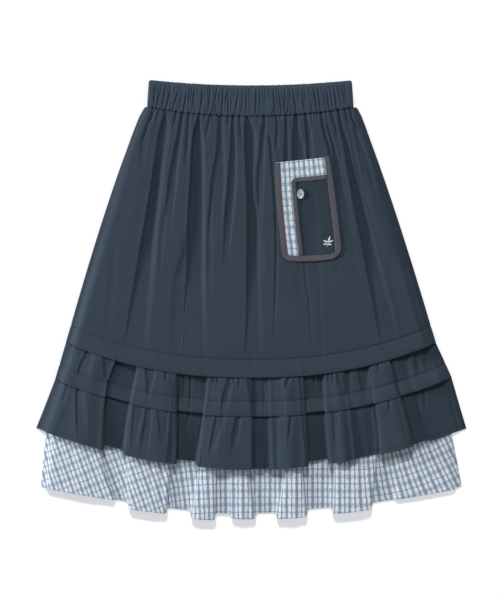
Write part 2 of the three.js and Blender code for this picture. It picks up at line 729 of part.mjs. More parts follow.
skirt.add(part('skirt_back', backLayer([0, 40, 130, 260, 391], dark, 14, [
  { depth: 0, height: 0 },
]), NAVY));
skirt.add(part('ruffle_upper_back', backLayer([378, 392, 401, 424, STATIONS.tier], dark, 18, [
  { depth: 392, height: CLOTH + GAP },
  { depth: 401, height: 0 },
]), NAVY));
skirt.add(part('ruffle_lower_back', backLayer([437, 447, 456, 490, STATIONS.hem], dark, 18, [
  { depth: 447, height: CLOTH + GAP },
  { depth: 456, height: 0 },
]), NAVY));
skirt.add(part('check_frill_back', backLayer([464, 522, 531, 560, 588], frillSides, 18, [
  { depth: 522, height: CLOTH + GAP },
  { depth: 531, height: 0 },
]), CHECK));

// The pocket: checked patch, plain patch, the two tapes and the button
const panelFace = clothFace(panelGrid, (i) => panelWall(i).outer);
const net = pocketNet(panelFace.slice(1, 8));
const layerStep = PATCH_THICKNESS + POCKET_GAP;
const TAPE_STEP = 15;
const lowEdge = POCKET_HEIGHT - TAPE_WIDTH - GAP;

const middleDepths = [50, 67, 84, 101, 118];
const hemDepths = [12, 6, 2].map((up) => POCKET_HEIGHT - up);
const checkDepths = [0, 16, 33, ...middleDepths, ...hemDepths];
skirt.add(part('pocket_check', pocketLayer(net, patchRows(
  { left: 2, right: POCKET_WIDTH - 2 },
  checkDepths,
  8,
  (b) => ({
    left: roundInset(POCKET_ROUND_LEFT - 2, POCKET_HEIGHT - 2 - b),
    right: roundInset(POCKET_ROUND_RIGHT - 2, POCKET_HEIGHT - 2 - b),
  }),
), POCKET_GAP, PATCH_THICKNESS), CHECK));

const patchTop = PATCH_TOP + TAPE_LAP;
const roundDepths = [0, 1.5, 5].map((down) => patchTop + down);
const patchDepths = [...roundDepths, ...middleDepths, lowEdge - 7, lowEdge - 2, lowEdge];
skirt.add(part('pocket_patch', pocketLayer(net, patchRows(
  { left: PATCH_LEFT + TAPE_LAP, right: POCKET_WIDTH - TAPE_WIDTH - GAP },
  patchDepths,
  6,
  (b) => ({
    left: roundInset(PATCH_ROUND - TAPE_LAP, b - patchTop),
    right: roundInset(POCKET_ROUND_RIGHT - TAPE_WIDTH, lowEdge - b),
  }),
), POCKET_GAP + layerStep, PATCH_THICKNESS), NAVY));

skirt.add(part('pocket_tape_outer', pocketLayer(net, tapeRows([
  { a: 0, b: 0.5 },
  { a: 0, b: POCKET_HEIGHT, round: POCKET_ROUND_LEFT },
  { a: POCKET_WIDTH, b: POCKET_HEIGHT, round: POCKET_ROUND_RIGHT },
  { a: POCKET_WIDTH, b: -1 },
], TAPE_WIDTH, TAPE_STEP), POCKET_GAP + layerStep, PATCH_THICKNESS), TAPE));

skirt.add(part('pocket_tape_inner', pocketLayer(net, tapeRows([
  { a: POCKET_WIDTH - TAPE_WIDTH - GAP, b: PATCH_TOP },
  { a: PATCH_LEFT, b: PATCH_TOP, round: PATCH_ROUND },
  { a: PATCH_LEFT, b: lowEdge },
], NARROW_TAPE_WIDTH, TAPE_STEP), POCKET_GAP + 2 * layerStep, PATCH_THICKNESS), TAPE));

const button = part('button', buttonBody(), SHELL);
const buttonPlace = pocketPlace(BUTTON_PLACE.a, BUTTON_PLACE.b);
const buttonSeat = Math.max(...ellipsePoints(BUTTON_WIDTH, BUTTON_LENGTH, 12).map((point) => (
  netHeight(net, BUTTON_PLACE.a + point.x, BUTTON_PLACE.b - point.y)
)));
button.position.set(buttonPlace.x, buttonPlace.y, buttonSeat + 2 * layerStep + POCKET_GAP);
skirt.add(button);

export default skirt;
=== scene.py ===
"""The looks of the tiered ruffle skirt, laid flat with its front up.

The tables give millimetres in the skirt's own layout: X runs across it, Y from the
hem up to the waist, Z up from the table. A row of cloth is placed by its depth: how
far it hangs below the waistband seam, measured down the middle of the skirt.
"""

import math

import bpy
import numpy as np
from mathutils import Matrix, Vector


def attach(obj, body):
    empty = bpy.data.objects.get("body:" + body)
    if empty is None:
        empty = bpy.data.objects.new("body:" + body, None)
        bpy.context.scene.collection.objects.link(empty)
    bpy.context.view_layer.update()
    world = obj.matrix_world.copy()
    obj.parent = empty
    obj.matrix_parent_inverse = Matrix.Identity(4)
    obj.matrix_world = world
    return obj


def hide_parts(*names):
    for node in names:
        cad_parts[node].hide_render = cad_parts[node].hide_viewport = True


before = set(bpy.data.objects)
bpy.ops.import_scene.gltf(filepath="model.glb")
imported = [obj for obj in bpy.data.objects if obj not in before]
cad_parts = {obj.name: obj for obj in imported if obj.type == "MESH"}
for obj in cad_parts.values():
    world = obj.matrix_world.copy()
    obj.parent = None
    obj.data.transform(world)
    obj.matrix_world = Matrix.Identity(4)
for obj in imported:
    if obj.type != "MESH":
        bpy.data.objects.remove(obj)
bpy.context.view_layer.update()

# Driving sizes
MIDDLE = np.array((-1.0, 2.1, 0.0))
CLOTH = 1.2
HALF_CLOTH = CLOTH / 2
TUCK_LIFT = 2.9
TUCK_UNDER = 1.1
SEAM_Y = 276.3
BAND_LEFT = -157.0
BAND_RIGHT = 152.0
BAND_HEIGHT_FRONT = 43.0
BAND_HEIGHT_BACK = 47.2
BAND_CURVE = 8.3
STITCH_1 = 364.0
STITCH_2 = 425.0
HEM_STITCH = 4.5
POCKET_WIDTH = 86.0
POCKET_HEIGHT = 148.0
TAPE_WIDTH = 8.5
NARROW_TAPE_WIDTH = 6.6

# Depths of the rows that the fold tables name
STATIONS = (0, 162, 305, 391, 446, 520)
TUCK_EDGE, TIER_EDGE, HEM_EDGE = STATIONS[3:]
FRILL_STATIONS = (462, 522, 593)
FRILL_EDGE = FRILL_STATIONS[2]

# How much each row curves up towards the sides: depth, rise, half width, power
ARCS = np.array((
    (0, 14, 156, 2.3),
    (391, 53, 277, 2.3),
    (446, 57, 296, 2.3),
    (520, 60, 322, 2.0),
    (593, 39, 315, 1.6),
))

# Side seams: depth, left, right
SIDES = np.array((
    (0, -157.5, 154.5),
    (391, -278, 275),
    (446, -294, 298.5),
    (520, -323, 321),
))
FRILL_SIDES = np.array((
    (462, -283, 277),
    (522, -308, 298),
    (593, -316, 314),
))
HIP_BULGE_LEFT = 20.0
HIP_BULGE_RIGHT = 15.6

# Folds of the dark front from left to right: the height over the table at each
# station, how much of the hem's drop the fold takes, and how much higher its left
# side lies than its right in the tiers
FRONT_FOLDS = np.array((
    (4.8, 7.0, 9.5, 12.5, 15.0, 18.0, 1.0, -2.0),
    (4.8, 4.4, 4.4, 7.0, 8.4, 8.6, 0.0, 5.0),
    (4.8, 7.5, 10.0, 13.5, 17.0, 21.0, 1.0, -1.5),
    (4.8, 3.8, 3.8, 7.0, 8.4, 8.6, 0.0, 5.5),
    (4.8, 8.0, 10.5, 13.5, 17.0, 22.0, 1.0, -2.0),
    (4.8, 4.2, 4.4, 9.0, 11.0, 13.5, 1.0, 1.5),
    (4.8, 7.0, 9.5, 13.0, 16.5, 21.0, 1.0, -1.5),
    (4.8, 4.8, 4.6, 7.0, 8.4, 8.6, 0.0, 5.5),
    (4.8, 7.5, 10.5, 13.0, 16.5, 21.5, 0.9, -1.0),
    (4.8, 7.5, 10.5, 11.0, 12.5, 13.5, 0.7, 3.0),
    (4.8, 8.0, 11.0, 13.5, 17.0, 22.0, 0.9, -1.0),
    (4.8, 4.2, 4.4, 9.0, 10.8, 12.0, 0.55, 5.5),
    (4.8, 6.5, 8.5, 6.6, 6.6, 6.6, 0.95, 5.4),
))

# The edge between each fold and the next: its place at each station, the radius it
# bends over in the panel and in the tiers, and how steep its flank stands
FRONT_EDGES = np.array((
    (-138, -157, -184, -204, -218, -221, 10, 2.0, 85),
    (-130, -142, -155, -170, -181, -192, 9, 2.5, 75),
    (-88, -94, -99, -110, -111.5, -113, 3, 1.5, 90),
    (-75, -73, -71, -66, -71.5, -82.5, 5, 2.5, 75),
    (-12, -6, -8, -0.5, 2, 1.5, 4, 1.5, 90),
    (6, 14, 22, 24, 25.5, 27, 12, 7, 45),
    (63, 69, 67, 77.5, 81, 84, 9, 1.5, 90),
    (79.5, 99, 106.5, 107.5, 109.5, 115, 9, 2.5, 75),
    (113, 130, 136, 137.5, 147, 156, 12, 3, 60),
    (123, 146, 164, 174.5, 183.5, 192, 12, 3, 60),
    (132, 158, 184, 205, 220.5, 240.5, 7, 1.5, 90),
    (142, 178, 221, 232, 244, 264, 14, 8, 40),
))
SIDE_ROLL = np.array(((4, 8, 10, 11, 11, 12),))
SIDE_EDGE = (12, 10, 50)

# Folds and edges of the checked frill, at its own stations
FRILL_FOLDS = np.array((
    (5.0, 9.5, 11.5, 0.1),
    (3.6, 3.6, 2.4, 0.0),
    (6.0, 11.0, 14.0, 1.0),
    (3.6, 3.6, 2.3, 0.2),
    (6.0, 11.0, 14.5, 1.3),
    (4.5, 6.0, 4.5, 0.3),
    (6.0, 11.0, 13.0, 0.9),
    (3.6, 3.6, 2.4, 0.1),
    (6.0, 11.0, 14.0, 1.0),
    (3.6, 3.6, 2.3, 0.0),
    (5.5, 10.0, 14.0, 1.0),
    (3.6, 3.6, 2.6, 0.1),
    (3.7, 4.2, 7.5, 0.2),
))
FRILL_EDGES = np.array((
    (-223.5, -228, -206, 5, 80),
    (-171, -185, -184.5, 5, 80),
    (-118.5, -121.5, -128, 5, 95),
    (-63, -75, -91, 5, 90),
    (-49.5, -52.5, -55.5, 4, 85),
    (-36, -33, -30, 4, 75),
    (-6, -6, 5, 5, 85),
    (51, 52.5, 37, 5, 80),
    (70.5, 74, 82, 5, 95),
    (115.5, 123, 121, 5, 85),
    (180, 186, 178.5, 5, 95),
    (207, 214, 216, 8, 45),
))
FRILL_ROLL = np.array(((6, 8, 9),))
FRILL_SIDE_EDGE = (6, 55)

# Heights of the front's side edges by depth
SIDE_HEIGHTS = np.array((
    (366, 2.1), (370, 3.6), (402, 3.6), (412, 2.1),
    (426, 2.1), (432, 3.6), (459, 3.6), (468, 2.1),
))
FRILL_SIDE_HEIGHTS = np.array(((524, 3.6), (534, 2.1)))
SIDE_SEAM_HEIGHT = 1.0

# Gathers and soft pleats: low bands of cloth between higher ones. Each gives how deep
# the band lies, how softly it starts on its left and ends on its right, and its edges
# as rows of down (how far below the middle of the waistband seam), left and right
PANEL_BANDS = (
    (1.6, 1.5, 3.0, ((-6, -151.5, -148.5), (0, -153.5, -149.5), (20, -161, -157), (50, -171, -166))),
    (0.8, 2.0, 4.0, ((16, -157, -152), (40, -165, -157), (60, -168, -161), (90, -171, -165))),
    (1.6, 1.2, 2.0, ((-8, -148, -146), (2, -151, -148.5), (14, -154, -151.5))),
    (1.4, 1.2, 1.5, ((-9, -141.5, -139), (2, -143.5, -141), (12, -146.5, -144.5))),
    (4.2, 2.5, 8.0, ((-4, -131, -127.5), (8, -134.5, -127), (20, -138, -125), (40, -141, -128),
        (60, -143.5, -130.5), (80, -147, -133.5), (100, -149.5, -135.5), (120, -153, -138),
        (160, -160, -143), (300, -184, -155), (420, -203, -163))),
    (1.5, 1.5, 2.5, ((-6, -114.5, -112), (5, -117, -114), (18, -119, -116.5))),
    (2.8, 3.5, 4.0, ((-6, -105.5, -103), (0, -106.5, -103.5), (20, -110, -105), (40, -114, -107.5),
        (60, -118, -109.5), (80, -122, -111.5), (100, -125, -113.5), (120, -127, -116),
        (145, -130, -119), (185, -135, -124))),
    (1.5, 2.0, 3.0, ((-6, -96, -93.5), (8, -97.5, -93), (25, -99, -92.5), (50, -100, -95),
        (85, -103, -98))),
    (2.0, 1.2, 1.2, ((-2, -80.5, -78), (10, -80, -78), (22, -79, -76.5))),
    (4.8, 1.2, 7.0, ((4, -82, -80.5), (14, -84, -79), (24, -87, -76), (40, -89, -74.5), (60, -90.5, -73),
        (80, -91.5, -72.5), (120, -94, -72.5), (160, -96, -72.5), (240, -98, -73), (400, -106, -69))),
    (2.6, 1.2, 5.0, ((-2, -50, -46), (20, -51, -44), (40, -51.5, -43), (60, -54, -42), (80, -58, -41),
        (100, -61, -41), (140, -64, -44), (190, -67, -48))),
    (1.4, 1.5, 1.5, ((-2, -64, -61.5), (10, -66.5, -63.5), (22, -69, -66), (38, -72, -69.5))),
    (1.2, 1.2, 1.2, ((-3, -61, -58.5), (11, -60, -58))),
    (3.2, 1.2, 4.0, ((-3, -29.5, -28.5), (4, -30.5, -28), (20, -30.5, -27), (40, -31.5, -25),
        (60, -32.5, -24), (80, -34.5, -24), (100, -36, -24.5), (120, -38, -26), (150, -40.5, -29),
        (190, -42, -33), (240, -43, -36))),
    (1.6, 1.2, 1.2, ((-3, -36.5, -34.5), (8, -37, -35), (16, -37, -35.5))),
    (1.6, 1.2, 1.2, ((-4, -29, -27), (12, -28.5, -26.5))),
    (1.5, 1.5, 2.0, ((-2, -20, -17.5), (15, -19.5, -17), (28, -18, -15.5), (44, -17, -15))),
    (4.2, 1.5, 6.0, ((-3, -9.5, -7.5), (8, -9.5, -3), (20, -10.5, 4), (40, -10.5, 5), (60, -10, 3),
        (80, -9, 1.5), (100, -8, 0.5), (120, -7, 1), (150, -6.5, 8), (300, -8, 12), (420, -14, 14))),
    (2.4, 1.2, 3.5, ((-3, 16.5, 19.5), (10, 16.5, 20), (20, 14.5, 20), (40, 12, 18.5), (60, 10.5, 18),
        (80, 8.5, 17.5), (100, 8, 17), (120, 8.5, 16.5), (170, 12, 16))),
    (1.6, 1.5, 1.5, ((30, 25, 28), (70, 28, 33), (110, 31, 35), (150, 33.5, 37), (200, 34.5, 37.5),
        (260, 33.5, 37), (320, 31.5, 35.5), (380, 28, 33))),
    (2.0, 1.2, 1.5, ((-3, 34, 37), (5, 35, 38.5), (15, 36, 39), (30, 35.5, 38.5), (60, 34.5, 37))),
    (3.0, 1.2, 1.2, ((-3, 49.5, 52), (20, 49.5, 52.5), (35, 49.5, 53), (50, 48, 54), (120, 46, 55))),
    (3.2, 1.2, 4.0, ((-4, 63, 69.5), (10, 62.5, 69.5), (20, 62, 70), (30, 61, 72), (45, 61, 78),
        (120, 62, 82))),
    (2.6, 1.5, 4.0, ((-4, 78, 81), (10, 79, 84), (20, 80, 88.5), (35, 81, 89.5), (50, 82, 90.5),
        (120, 85, 93))),
    (1.6, 1.2, 1.5, ((-9, 92, 94.5), (0, 96, 98), (7, 99, 100.5))),
    (2.6, 1.5, 2.0, ((-7, 100.5, 104), (10, 103, 107.5), (20, 105, 110), (32, 108.5, 112.5),
        (50, 114, 117.5), (90, 122, 125))),
    (2.2, 2.0, 2.5, ((12, 110.5, 114), (30, 115.5, 119), (45, 119, 124.5), (60, 121.5, 128),
        (80, 123.5, 132), (100, 126, 136), (140, 131, 142))),
    (2.0, 1.2, 1.5, ((-9, 115.5, 118.5), (5, 119.5, 122.5), (20, 124, 127), (36, 128.5, 131))),
    (4.2, 1.2, 6.0, ((-9, 126.5, 130), (10, 129.5, 133.5), (20, 131.5, 136), (40, 136, 142.5),
        (60, 139.5, 147), (80, 142.5, 151.5), (100, 147, 156.5), (120, 150.5, 162), (140, 154, 168),
        (160, 158, 174), (320, 189, 216), (420, 206, 230))),
    (1.8, 1.2, 1.5, ((-12, 136.5, 139), (5, 141, 143.5), (18, 146, 148))),
    (2.0, 1.2, 2.5, ((-11, 144, 147), (5, 148.5, 151.5), (18, 156, 159.5), (34, 165, 168.5))),
    (1.6, 2.0, 4.0, ((16, 150.5, 154), (30, 154, 161), (50, 158.5, 168.5), (70, 162, 175),
        (95, 167, 182), (140, 176, 192))),
    (2.6, 14.0, 1.2, ((170, -96, -98), (205, -104, -98), (240, -115, -99), (280, -119, -100),
        (320, -120, -103), (400, -117, -109))),
    (0.8, 8.0, 8.0, ((190, -204, -206), (225, -212, -204), (260, -215, -205), (300, -219, -211),
        (370, -226, -218))),
    (0.9, 5.0, 5.0, ((130, -129, -131), (165, -138, -130), (200, -139, -133), (260, -142, -137))),
    (1.0, 4.0, 4.0, ((120, -61, -62), (150, -66, -60), (200, -67, -61), (300, -66, -60))),
    (0.8, 1.2, 2.0, ((205, 75, 79), (250, 79.5, 82.5), (280, 84, 87), (310, 86, 89), (380, 89, 92))),
    (0.7, 2.0, 2.2, ((240, 101, 101), (280, 98, 103), (330, 101, 106), (410, 101, 107))),
    (1.2, 10.0, 10.0, ((200, 206, 204), (240, 202, 220), (300, 216, 238), (360, 228, 252))),
)

# The same for the tier under the first tuck and for the one under the second
UPPER_BANDS = (
    (3.0, 1.0, 1.2, ((352, -202, -199), (368, -204.5, -201.5), (383, -210.5, -207.5), (397, -216, -213),
        (425, -219, -216), (480, -224, -221))),
    (3.4, 1.0, 1.2, ((378, -113, -110), (425, -113, -110), (480, -114, -111))),
    (3.0, 1.0, 1.2, ((380, 76, 79), (400, 77, 80), (425, 78, 81), (480, 80, 83))),
    (3.0, 1.0, 1.2, ((346, 202, 205), (378, 208, 211), (395, 212, 215), (420, 219, 222),
        (470, 228, 231))),
    (1.6, 1.5, 1.5, ((330, -271, -267), (355, -273, -269), (365, -276, -272), (385, -281, -278))),
    (1.8, 1.5, 6.0, ((345, -247, -238), (358, -250, -238), (368, -256, -240), (378, -259, -242),
        (396, -263, -247))),
    (1.6, 5.0, 1.0, ((355, -223, -203), (375, -221, -208), (390, -219, -213), (408, -218.5, -216))),
    (1.2, 1.5, 2.0, ((362, -203, -169), (380, -208, -171), (395, -214, -175), (410, -216, -179),
        (425, -218, -181.5), (450, -221, -185))),
    (2.2, 2.0, 1.5, ((372, -160, -143), (390, -158, -146), (400, -157, -149), (425, -157, -153))),
    (1.6, 1.0, 1.5, ((376, -130.5, -124.5), (386, -130, -126.5), (400, -129, -127.5))),
    (1.2, 6.0, 1.0, ((398, -118, -110), (470, -119, -111))),
    (1.2, 1.2, 1.2, ((384, -103.5, -101), (425, -103.5, -101.5))),
    (1.2, 1.2, 1.2, ((388, -93.5, -91), (410, -93, -91), (450, -96, -94))),
    (1.6, 1.2, 1.2, ((386, -58.5, -55.5), (402, -58.5, -57))),
    (1.6, 1.2, 1.2, ((386, -52.5, -50), (404, -54, -52))),
    (2.2, 1.0, 5.0, ((388, -36, -30), (402, -39, -31), (414, -43, -33), (426, -45.5, -36),
        (450, -47, -42))),
    (1.4, 1.2, 1.5, ((386, -29, -25), (402, -28, -26))),
    (1.4, 1.2, 1.5, ((386, -21, -18), (410, -20.5, -18.5))),
    (1.8, 3.0, 1.0, ((386, -8, 0), (400, -6.5, 0.5), (415, -4, 1), (430, -1.5, 2.5), (470, 1, 5))),
    (1.6, 2.0, 1.5, ((386, 20, 43), (405, 23, 45), (420, 24, 48), (470, 22, 50))),
    (2.0, 1.2, 2.0, ((384, 53.5, 58.5), (394, 51, 56), (410, 48, 50.5))),
    (1.8, 1.5, 1.0, ((382, 69, 76), (400, 71, 77), (420, 73, 78), (470, 75, 80))),
    (1.2, 1.2, 1.2, ((380, 91, 93.5), (412, 92.5, 94.5))),
    (1.4, 1.2, 1.5, ((378, 112, 114.5), (402, 113, 115))),
    (1.4, 1.2, 1.5, ((378, 119.5, 122), (405, 118.5, 120.5))),
    (1.8, 1.2, 1.5, ((376, 124, 128), (392, 126.5, 129.5), (408, 128.5, 130.5))),
    (1.2, 1.0, 1.0, ((372, 137, 157.5), (400, 139, 162), (425, 141, 164))),
    (1.6, 1.0, 4.0, ((372, 136.5, 146), (390, 136.5, 143), (405, 138.5, 143), (425, 141, 143.5))),
    (1.4, 1.0, 1.2, ((374, 144, 146), (418, 144, 146))),
    (2.4, 1.2, 1.5, ((366, 157.5, 174.5), (385, 158.5, 173.5), (395, 161, 173), (425, 167, 172.5))),
    (1.6, 1.2, 1.5, ((362, 186, 189.5), (385, 188, 189.5))),
    (1.6, 1.2, 6.0, ((348, 238.5, 246), (365, 241, 250), (390, 247, 254))),
    (1.4, 4.0, 1.5, ((340, 249, 256.5), (360, 255, 261), (385, 260, 265))),
    (1.6, 1.2, 2.0, ((335, 266, 269), (350, 269, 273), (368, 274, 277))),
)
LOWER_BANDS = (
    (3.0, 1.0, 1.2, ((415, -219, -216), (440, -221.5, -218.5), (470, -223, -220),
        (520, -223.5, -220.5))),
    (3.4, 1.0, 1.2, ((436, -113.5, -110), (490, -113.5, -110), (580, -117, -114))),
    (2.6, 1.0, 1.2, ((442, -0.5, 2.5), (475, 0, 3), (570, 1, 3.5))),
    (3.2, 1.0, 1.2, ((436, 79, 82), (475, 81, 84.5), (490, 82, 85.5), (580, 84, 87))),
    (3.0, 1.0, 1.2, ((414, 220, 223), (440, 227, 231), (460, 232, 236), (490, 239, 242),
        (560, 248, 250))),
    (1.8, 2.0, 1.2, ((392, -289, -280), (410, -295, -287), (425, -301, -295), (440, -308, -301),
        (455, -314, -305), (485, -319, -312))),
    (1.6, 1.5, 2.0, ((394, -275.5, -271), (410, -280, -276), (430, -286, -283))),
    (2.0, 1.2, 8.0, ((398, -261.5, -254), (420, -262.5, -252), (440, -262, -249), (460, -261, -248),
        (485, -257, -246))),
    (1.6, 2.5, 2.5, ((428, -176, -161), (450, -178, -166), (470, -180, -171), (500, -181, -176))),
    (1.8, 2.0, 2.0, ((432, -158, -149.5), (450, -160, -150), (470, -164, -152), (505, -168, -157))),
    (1.6, 2.0, 2.0, ((434, -142, -124.5), (455, -139, -126), (490, -137, -130))),
    (2.0, 6.0, 1.0, ((434, -121, -112), (460, -122, -113), (480, -123, -114), (500, -126, -114.5),
        (560, -130, -115))),
    (1.4, 1.2, 1.5, ((437, -95.5, -92.5), (475, -101, -98))),
    (1.2, 2.0, 3.0, ((450, -75, -68.5), (480, -80, -73), (540, -82, -77))),
    (2.2, 1.0, 5.0, ((444, -54, -45), (462, -58, -47), (478, -61, -52), (510, -66, -60))),
    (1.4, 1.5, 2.0, ((444, -46, -41), (472, -46, -42))),
    (2.2, 1.5, 2.0, ((444, -23, -16), (460, -27, -18), (470, -30, -20), (500, -31, -25))),
    (2.0, 3.0, 4.0, ((440, 21, 39), (480, 22, 40), (500, 20, 40), (580, 15, 38))),
    (1.6, 1.2, 3.0, ((442, 55, 60), (465, 54, 58), (492, 52, 54))),
    (1.8, 2.0, 1.0, ((440, 74.5, 79), (470, 76.5, 81), (490, 79, 82), (560, 81, 84))),
    (1.6, 2.0, 2.0, ((438, 119, 129), (465, 121, 128), (495, 123, 126))),
    (1.2, 1.0, 1.5, ((430, 146.5, 178), (450, 147.5, 180), (462, 149, 181), (480, 155, 183),
        (540, 165, 188))),
    (2.0, 1.5, 1.0, ((424, 181.5, 186.5), (445, 184, 188.5), (460, 186.5, 190.5), (480, 188, 192),
        (540, 190, 193))),
    (1.6, 1.2, 1.5, ((418, 202, 205.5), (442, 203.5, 205.5))),
    (1.8, 1.5, 3.0, ((412, 239, 247), (440, 247, 253), (475, 255, 260))),
    (1.4, 1.2, 4.0, ((412, 226, 236), (430, 230, 242), (445, 236, 250), (490, 248, 262))),
    (1.4, 2.0, 2.0, ((405, 252, 257), (435, 258, 263))),
    (2.2, 1.2, 3.0, ((398, 283, 295), (418, 291, 304), (435, 298, 309), (448, 304, 314),
        (470, 313, 319))),
)
FRILL_GATHERS = (
    (-268, 60, 1.0, 6.0), (-214, 70, 1.2, 6.0), (-150, 60, 1.4, 5.0),
    (-135, 70, 1.2, 5.0), (20, 70, 1.2, 5.0), (-20, 60, 1.0, 4.0),
    (95, 70, 1.2, 5.0), (145, 60, 1.2, 6.0), (165, 70, 1.0, 5.0),
    (235, 60, 0.9, 7.0), (258, 60, 0.9, 6.0),
)

# Creases of the waistband: place at the top end and at the low end, where it starts and
# ends as parts of the way down from the band's top edge to its seam, and its depth
BAND_CREASES = (
    (-146.7, -146.7, 0.0, 1.0, 1.0), (-144.4, -143.3, 0.0, 0.35, 0.8), (-140.4, -142.1, 0.1, 1.0, 0.7),
    (-136.7, -141.0, 0.0, 0.9, 1.0), (-130.0, -134.6, 0.0, 1.0, 1.2), (-121.9, -128.8, 0.1, 1.0, 1.3),
    (-128.3, -127.7, 0.0, 0.25, 0.7), (-124.8, -125.4, 0.0, 0.25, 0.6), (-111.0, -119.0, 0.2, 1.0, 1.3),
    (-108.0, -108.6, 0.0, 0.3, 0.7), (-104.0, -109.2, 0.2, 0.95, 0.7), (-98.3, -102.5, 0.2, 1.0, 1.3),
    (-115.5, -117.0, 0.0, 0.3, 0.6), (-94.2, -96.4, 0.1, 0.7, 0.9), (-90.5, -93.1, 0.0, 0.6, 0.7),
    (-86.0, -89.6, 0.0, 0.95, 0.9), (-81.5, -82.5, 0.0, 0.4, 0.6), (-73.6, -78.1, 0.1, 1.0, 1.4),
    (-84.5, -86.0, 0.6, 1.0, 0.6), (-66.0, -66.6, 0.0, 0.3, 0.7), (-62.3, -66.2, 0.0, 1.0, 1.4),
    (-67.7, -69.8, 0.65, 1.0, 1.0), (-70.3, -71.0, 0.0, 0.3, 0.5), (-57.5, -57.0, 0.0, 0.25, 0.6),
    (-52.3, -59.8, 0.0, 1.0, 1.5), (-54.4, -55.0, 0.5, 1.0, 0.9), (-48.7, -49.5, 0.1, 0.6, 0.5),
    (-45.8, -45.8, 0.0, 0.3, 0.8), (-42.6, -46.0, 0.0, 1.0, 1.4), (-34.6, -40.5, 0.05, 0.5, 1.2),
    (-35.4, -35.2, 0.3, 1.0, 1.0), (-30.8, -32.0, 0.3, 0.95, 0.7), (-27.0, -27.5, 0.0, 0.4, 0.5),
    (-19.6, -25.2, 0.0, 1.0, 1.5), (-23.5, -24.0, 0.0, 0.3, 0.5), (-12.9, -16.6, 0.3, 0.95, 0.9),
    (-8.0, -8.6, 0.1, 1.0, 0.9), (-2.0, -2.4, 0.0, 0.2, 0.6), (-4.5, -5.0, 0.0, 0.3, 0.5),
    (6.9, 5.0, 0.0, 1.0, 1.3), (11.2, 12.9, 0.0, 0.75, 0.9), (10.0, 14.2, 0.7, 1.0, 0.8),
    (20.0, 19.8, 0.0, 0.5, 0.7), (16.0, 16.5, 0.0, 0.3, 0.5), (26.5, 26.8, 0.0, 0.3, 0.5),
    (32.0, 35.2, 0.0, 1.0, 1.4), (33.4, 29.0, 0.65, 1.0, 1.0), (40.4, 45.2, 0.1, 1.0, 1.3),
    (44.6, 48.2, 0.15, 0.75, 0.9), (50.0, 49.4, 0.0, 1.0, 1.4), (36.6, 37.5, 0.0, 0.4, 0.6),
    (57.0, 58.4, 0.0, 0.4, 0.6), (61.8, 66.6, 0.0, 1.0, 1.5), (54.5, 53.0, 0.6, 1.0, 0.8),
    (69.6, 72.2, 0.0, 0.5, 0.7), (75.2, 79.0, 0.1, 1.0, 1.2), (78.7, 80.8, 0.0, 0.8, 0.8),
    (86.0, 86.6, 0.0, 0.3, 0.6), (92.6, 98.2, 0.0, 1.0, 1.4), (99.6, 102.6, 0.0, 1.0, 1.4),
    (108.6, 111.0, 0.2, 0.8, 0.7), (104.5, 105.0, 0.0, 0.3, 0.6), (113.4, 115.4, 0.3, 1.0, 1.1),
    (117.2, 121.2, 0.0, 0.8, 0.9), (123.6, 127.0, 0.0, 1.0, 1.3), (130.0, 134.0, 0.0, 0.85, 0.9),
    (134.6, 139.6, 0.0, 0.85, 0.9), (139.2, 142.0, 0.0, 0.8, 0.6), (88.5, 90.5, 0.55, 1.0, 0.7),
)

# Notches along the waistband seam, where the gathers pull it in: place and strength
SEAM_NOTCHES = (
    (-148, 0.7), (-143, 0.6), (-137, 0.4), (-130, 0.9), (-122, 0.5), (-113, 0.8), (-103, 0.9),
    (-94, 0.8), (-86, 0.4), (-78, 0.9), (-70, 0.6), (-62, 1.0), (-57, 0.4), (-52, 0.7),
    (-45, 1.0), (-35.5, 0.6), (-28, 0.9), (-19, 0.7), (-9, 0.4), (0, 0.3), (9, 0.5), (18, 0.8),
    (26, 0.4), (32, 0.7), (36.5, 0.6), (42, 0.5), (50.5, 1.0), (58, 0.4), (66, 1.0), (73, 0.5),
    (80, 0.9), (88, 0.8), (93, 0.5), (98, 0.6), (103, 0.8), (110, 0.7), (117, 0.8), (123, 0.4),
    (128, 1.0), (138, 0.8), (145.5, 0.7),
)

# The pocket on the panel, and how far its edges bow out
POCKET_TOP_LEFT = np.array((34.2, 206.7))
POCKET_TOP_RIGHT = np.array((116.1, 215.3))
POCKET_LOW_RIGHT = np.array((135.0, 65.0))
POCKET_LOW_LEFT = np.array((46.5, 60.5))
POCKET_BOW_LEFT, POCKET_BOW_RIGHT, POCKET_BOW_LOW = 2.2, 1.2, 3.5
POCKET_ROUND_LEFT = 11.0
POCKET_ROUND_RIGHT = 16.0
PATCH_LEFT = 23.5
PATCH_TOP = 25.0
PATCH_ROUND = 7.5
TAPE_LAP = 2.5
BUTTON_PLACE = (35.8, 49.5)
SPRIG_PLACE = (68.0, 121.0)

# Fineness of the cloth's cells, and how its folds swell and hang
CELL = 1.1
BEND_CELLS = 4
CROWN = 0.18
RIPPLE = 0.05
LOWEST_FOLD = 5.0
HEM_DROP = 7.0
FRILL_DROP = 10.5
NARROWEST_EDGE = 4.0
SIDE_FADE = 5.0
FULLNESS = 2.8
NOTCH_DEPTH = 2.4
PANEL_LEVEL = 9.5
PANEL_RISE = 5.6
PANEL_FALL = 0.9
TIER_LEVEL = 16.5
LOWEST_FRONT = 2.6

# Depths between which the panel's folds settle, rise and lose their small creases
SETTLING = (60, 320)
RISING = (170, 345)
FADING = (180, 300)

# Where each layer starts under the one above it, and the steps between its rows
UPPER_START, LOWER_START, FRILL_START = 375, 438, 470
PANEL_STEP, TIER_STEP, FRILL_STEP = 2.9, 1.9, 2.0


def ramp(start, end, value):
    """0 up to start and 1 from end on, with a straight line between them."""
    return np.clip((value - start) / (end - start), 0, 1)


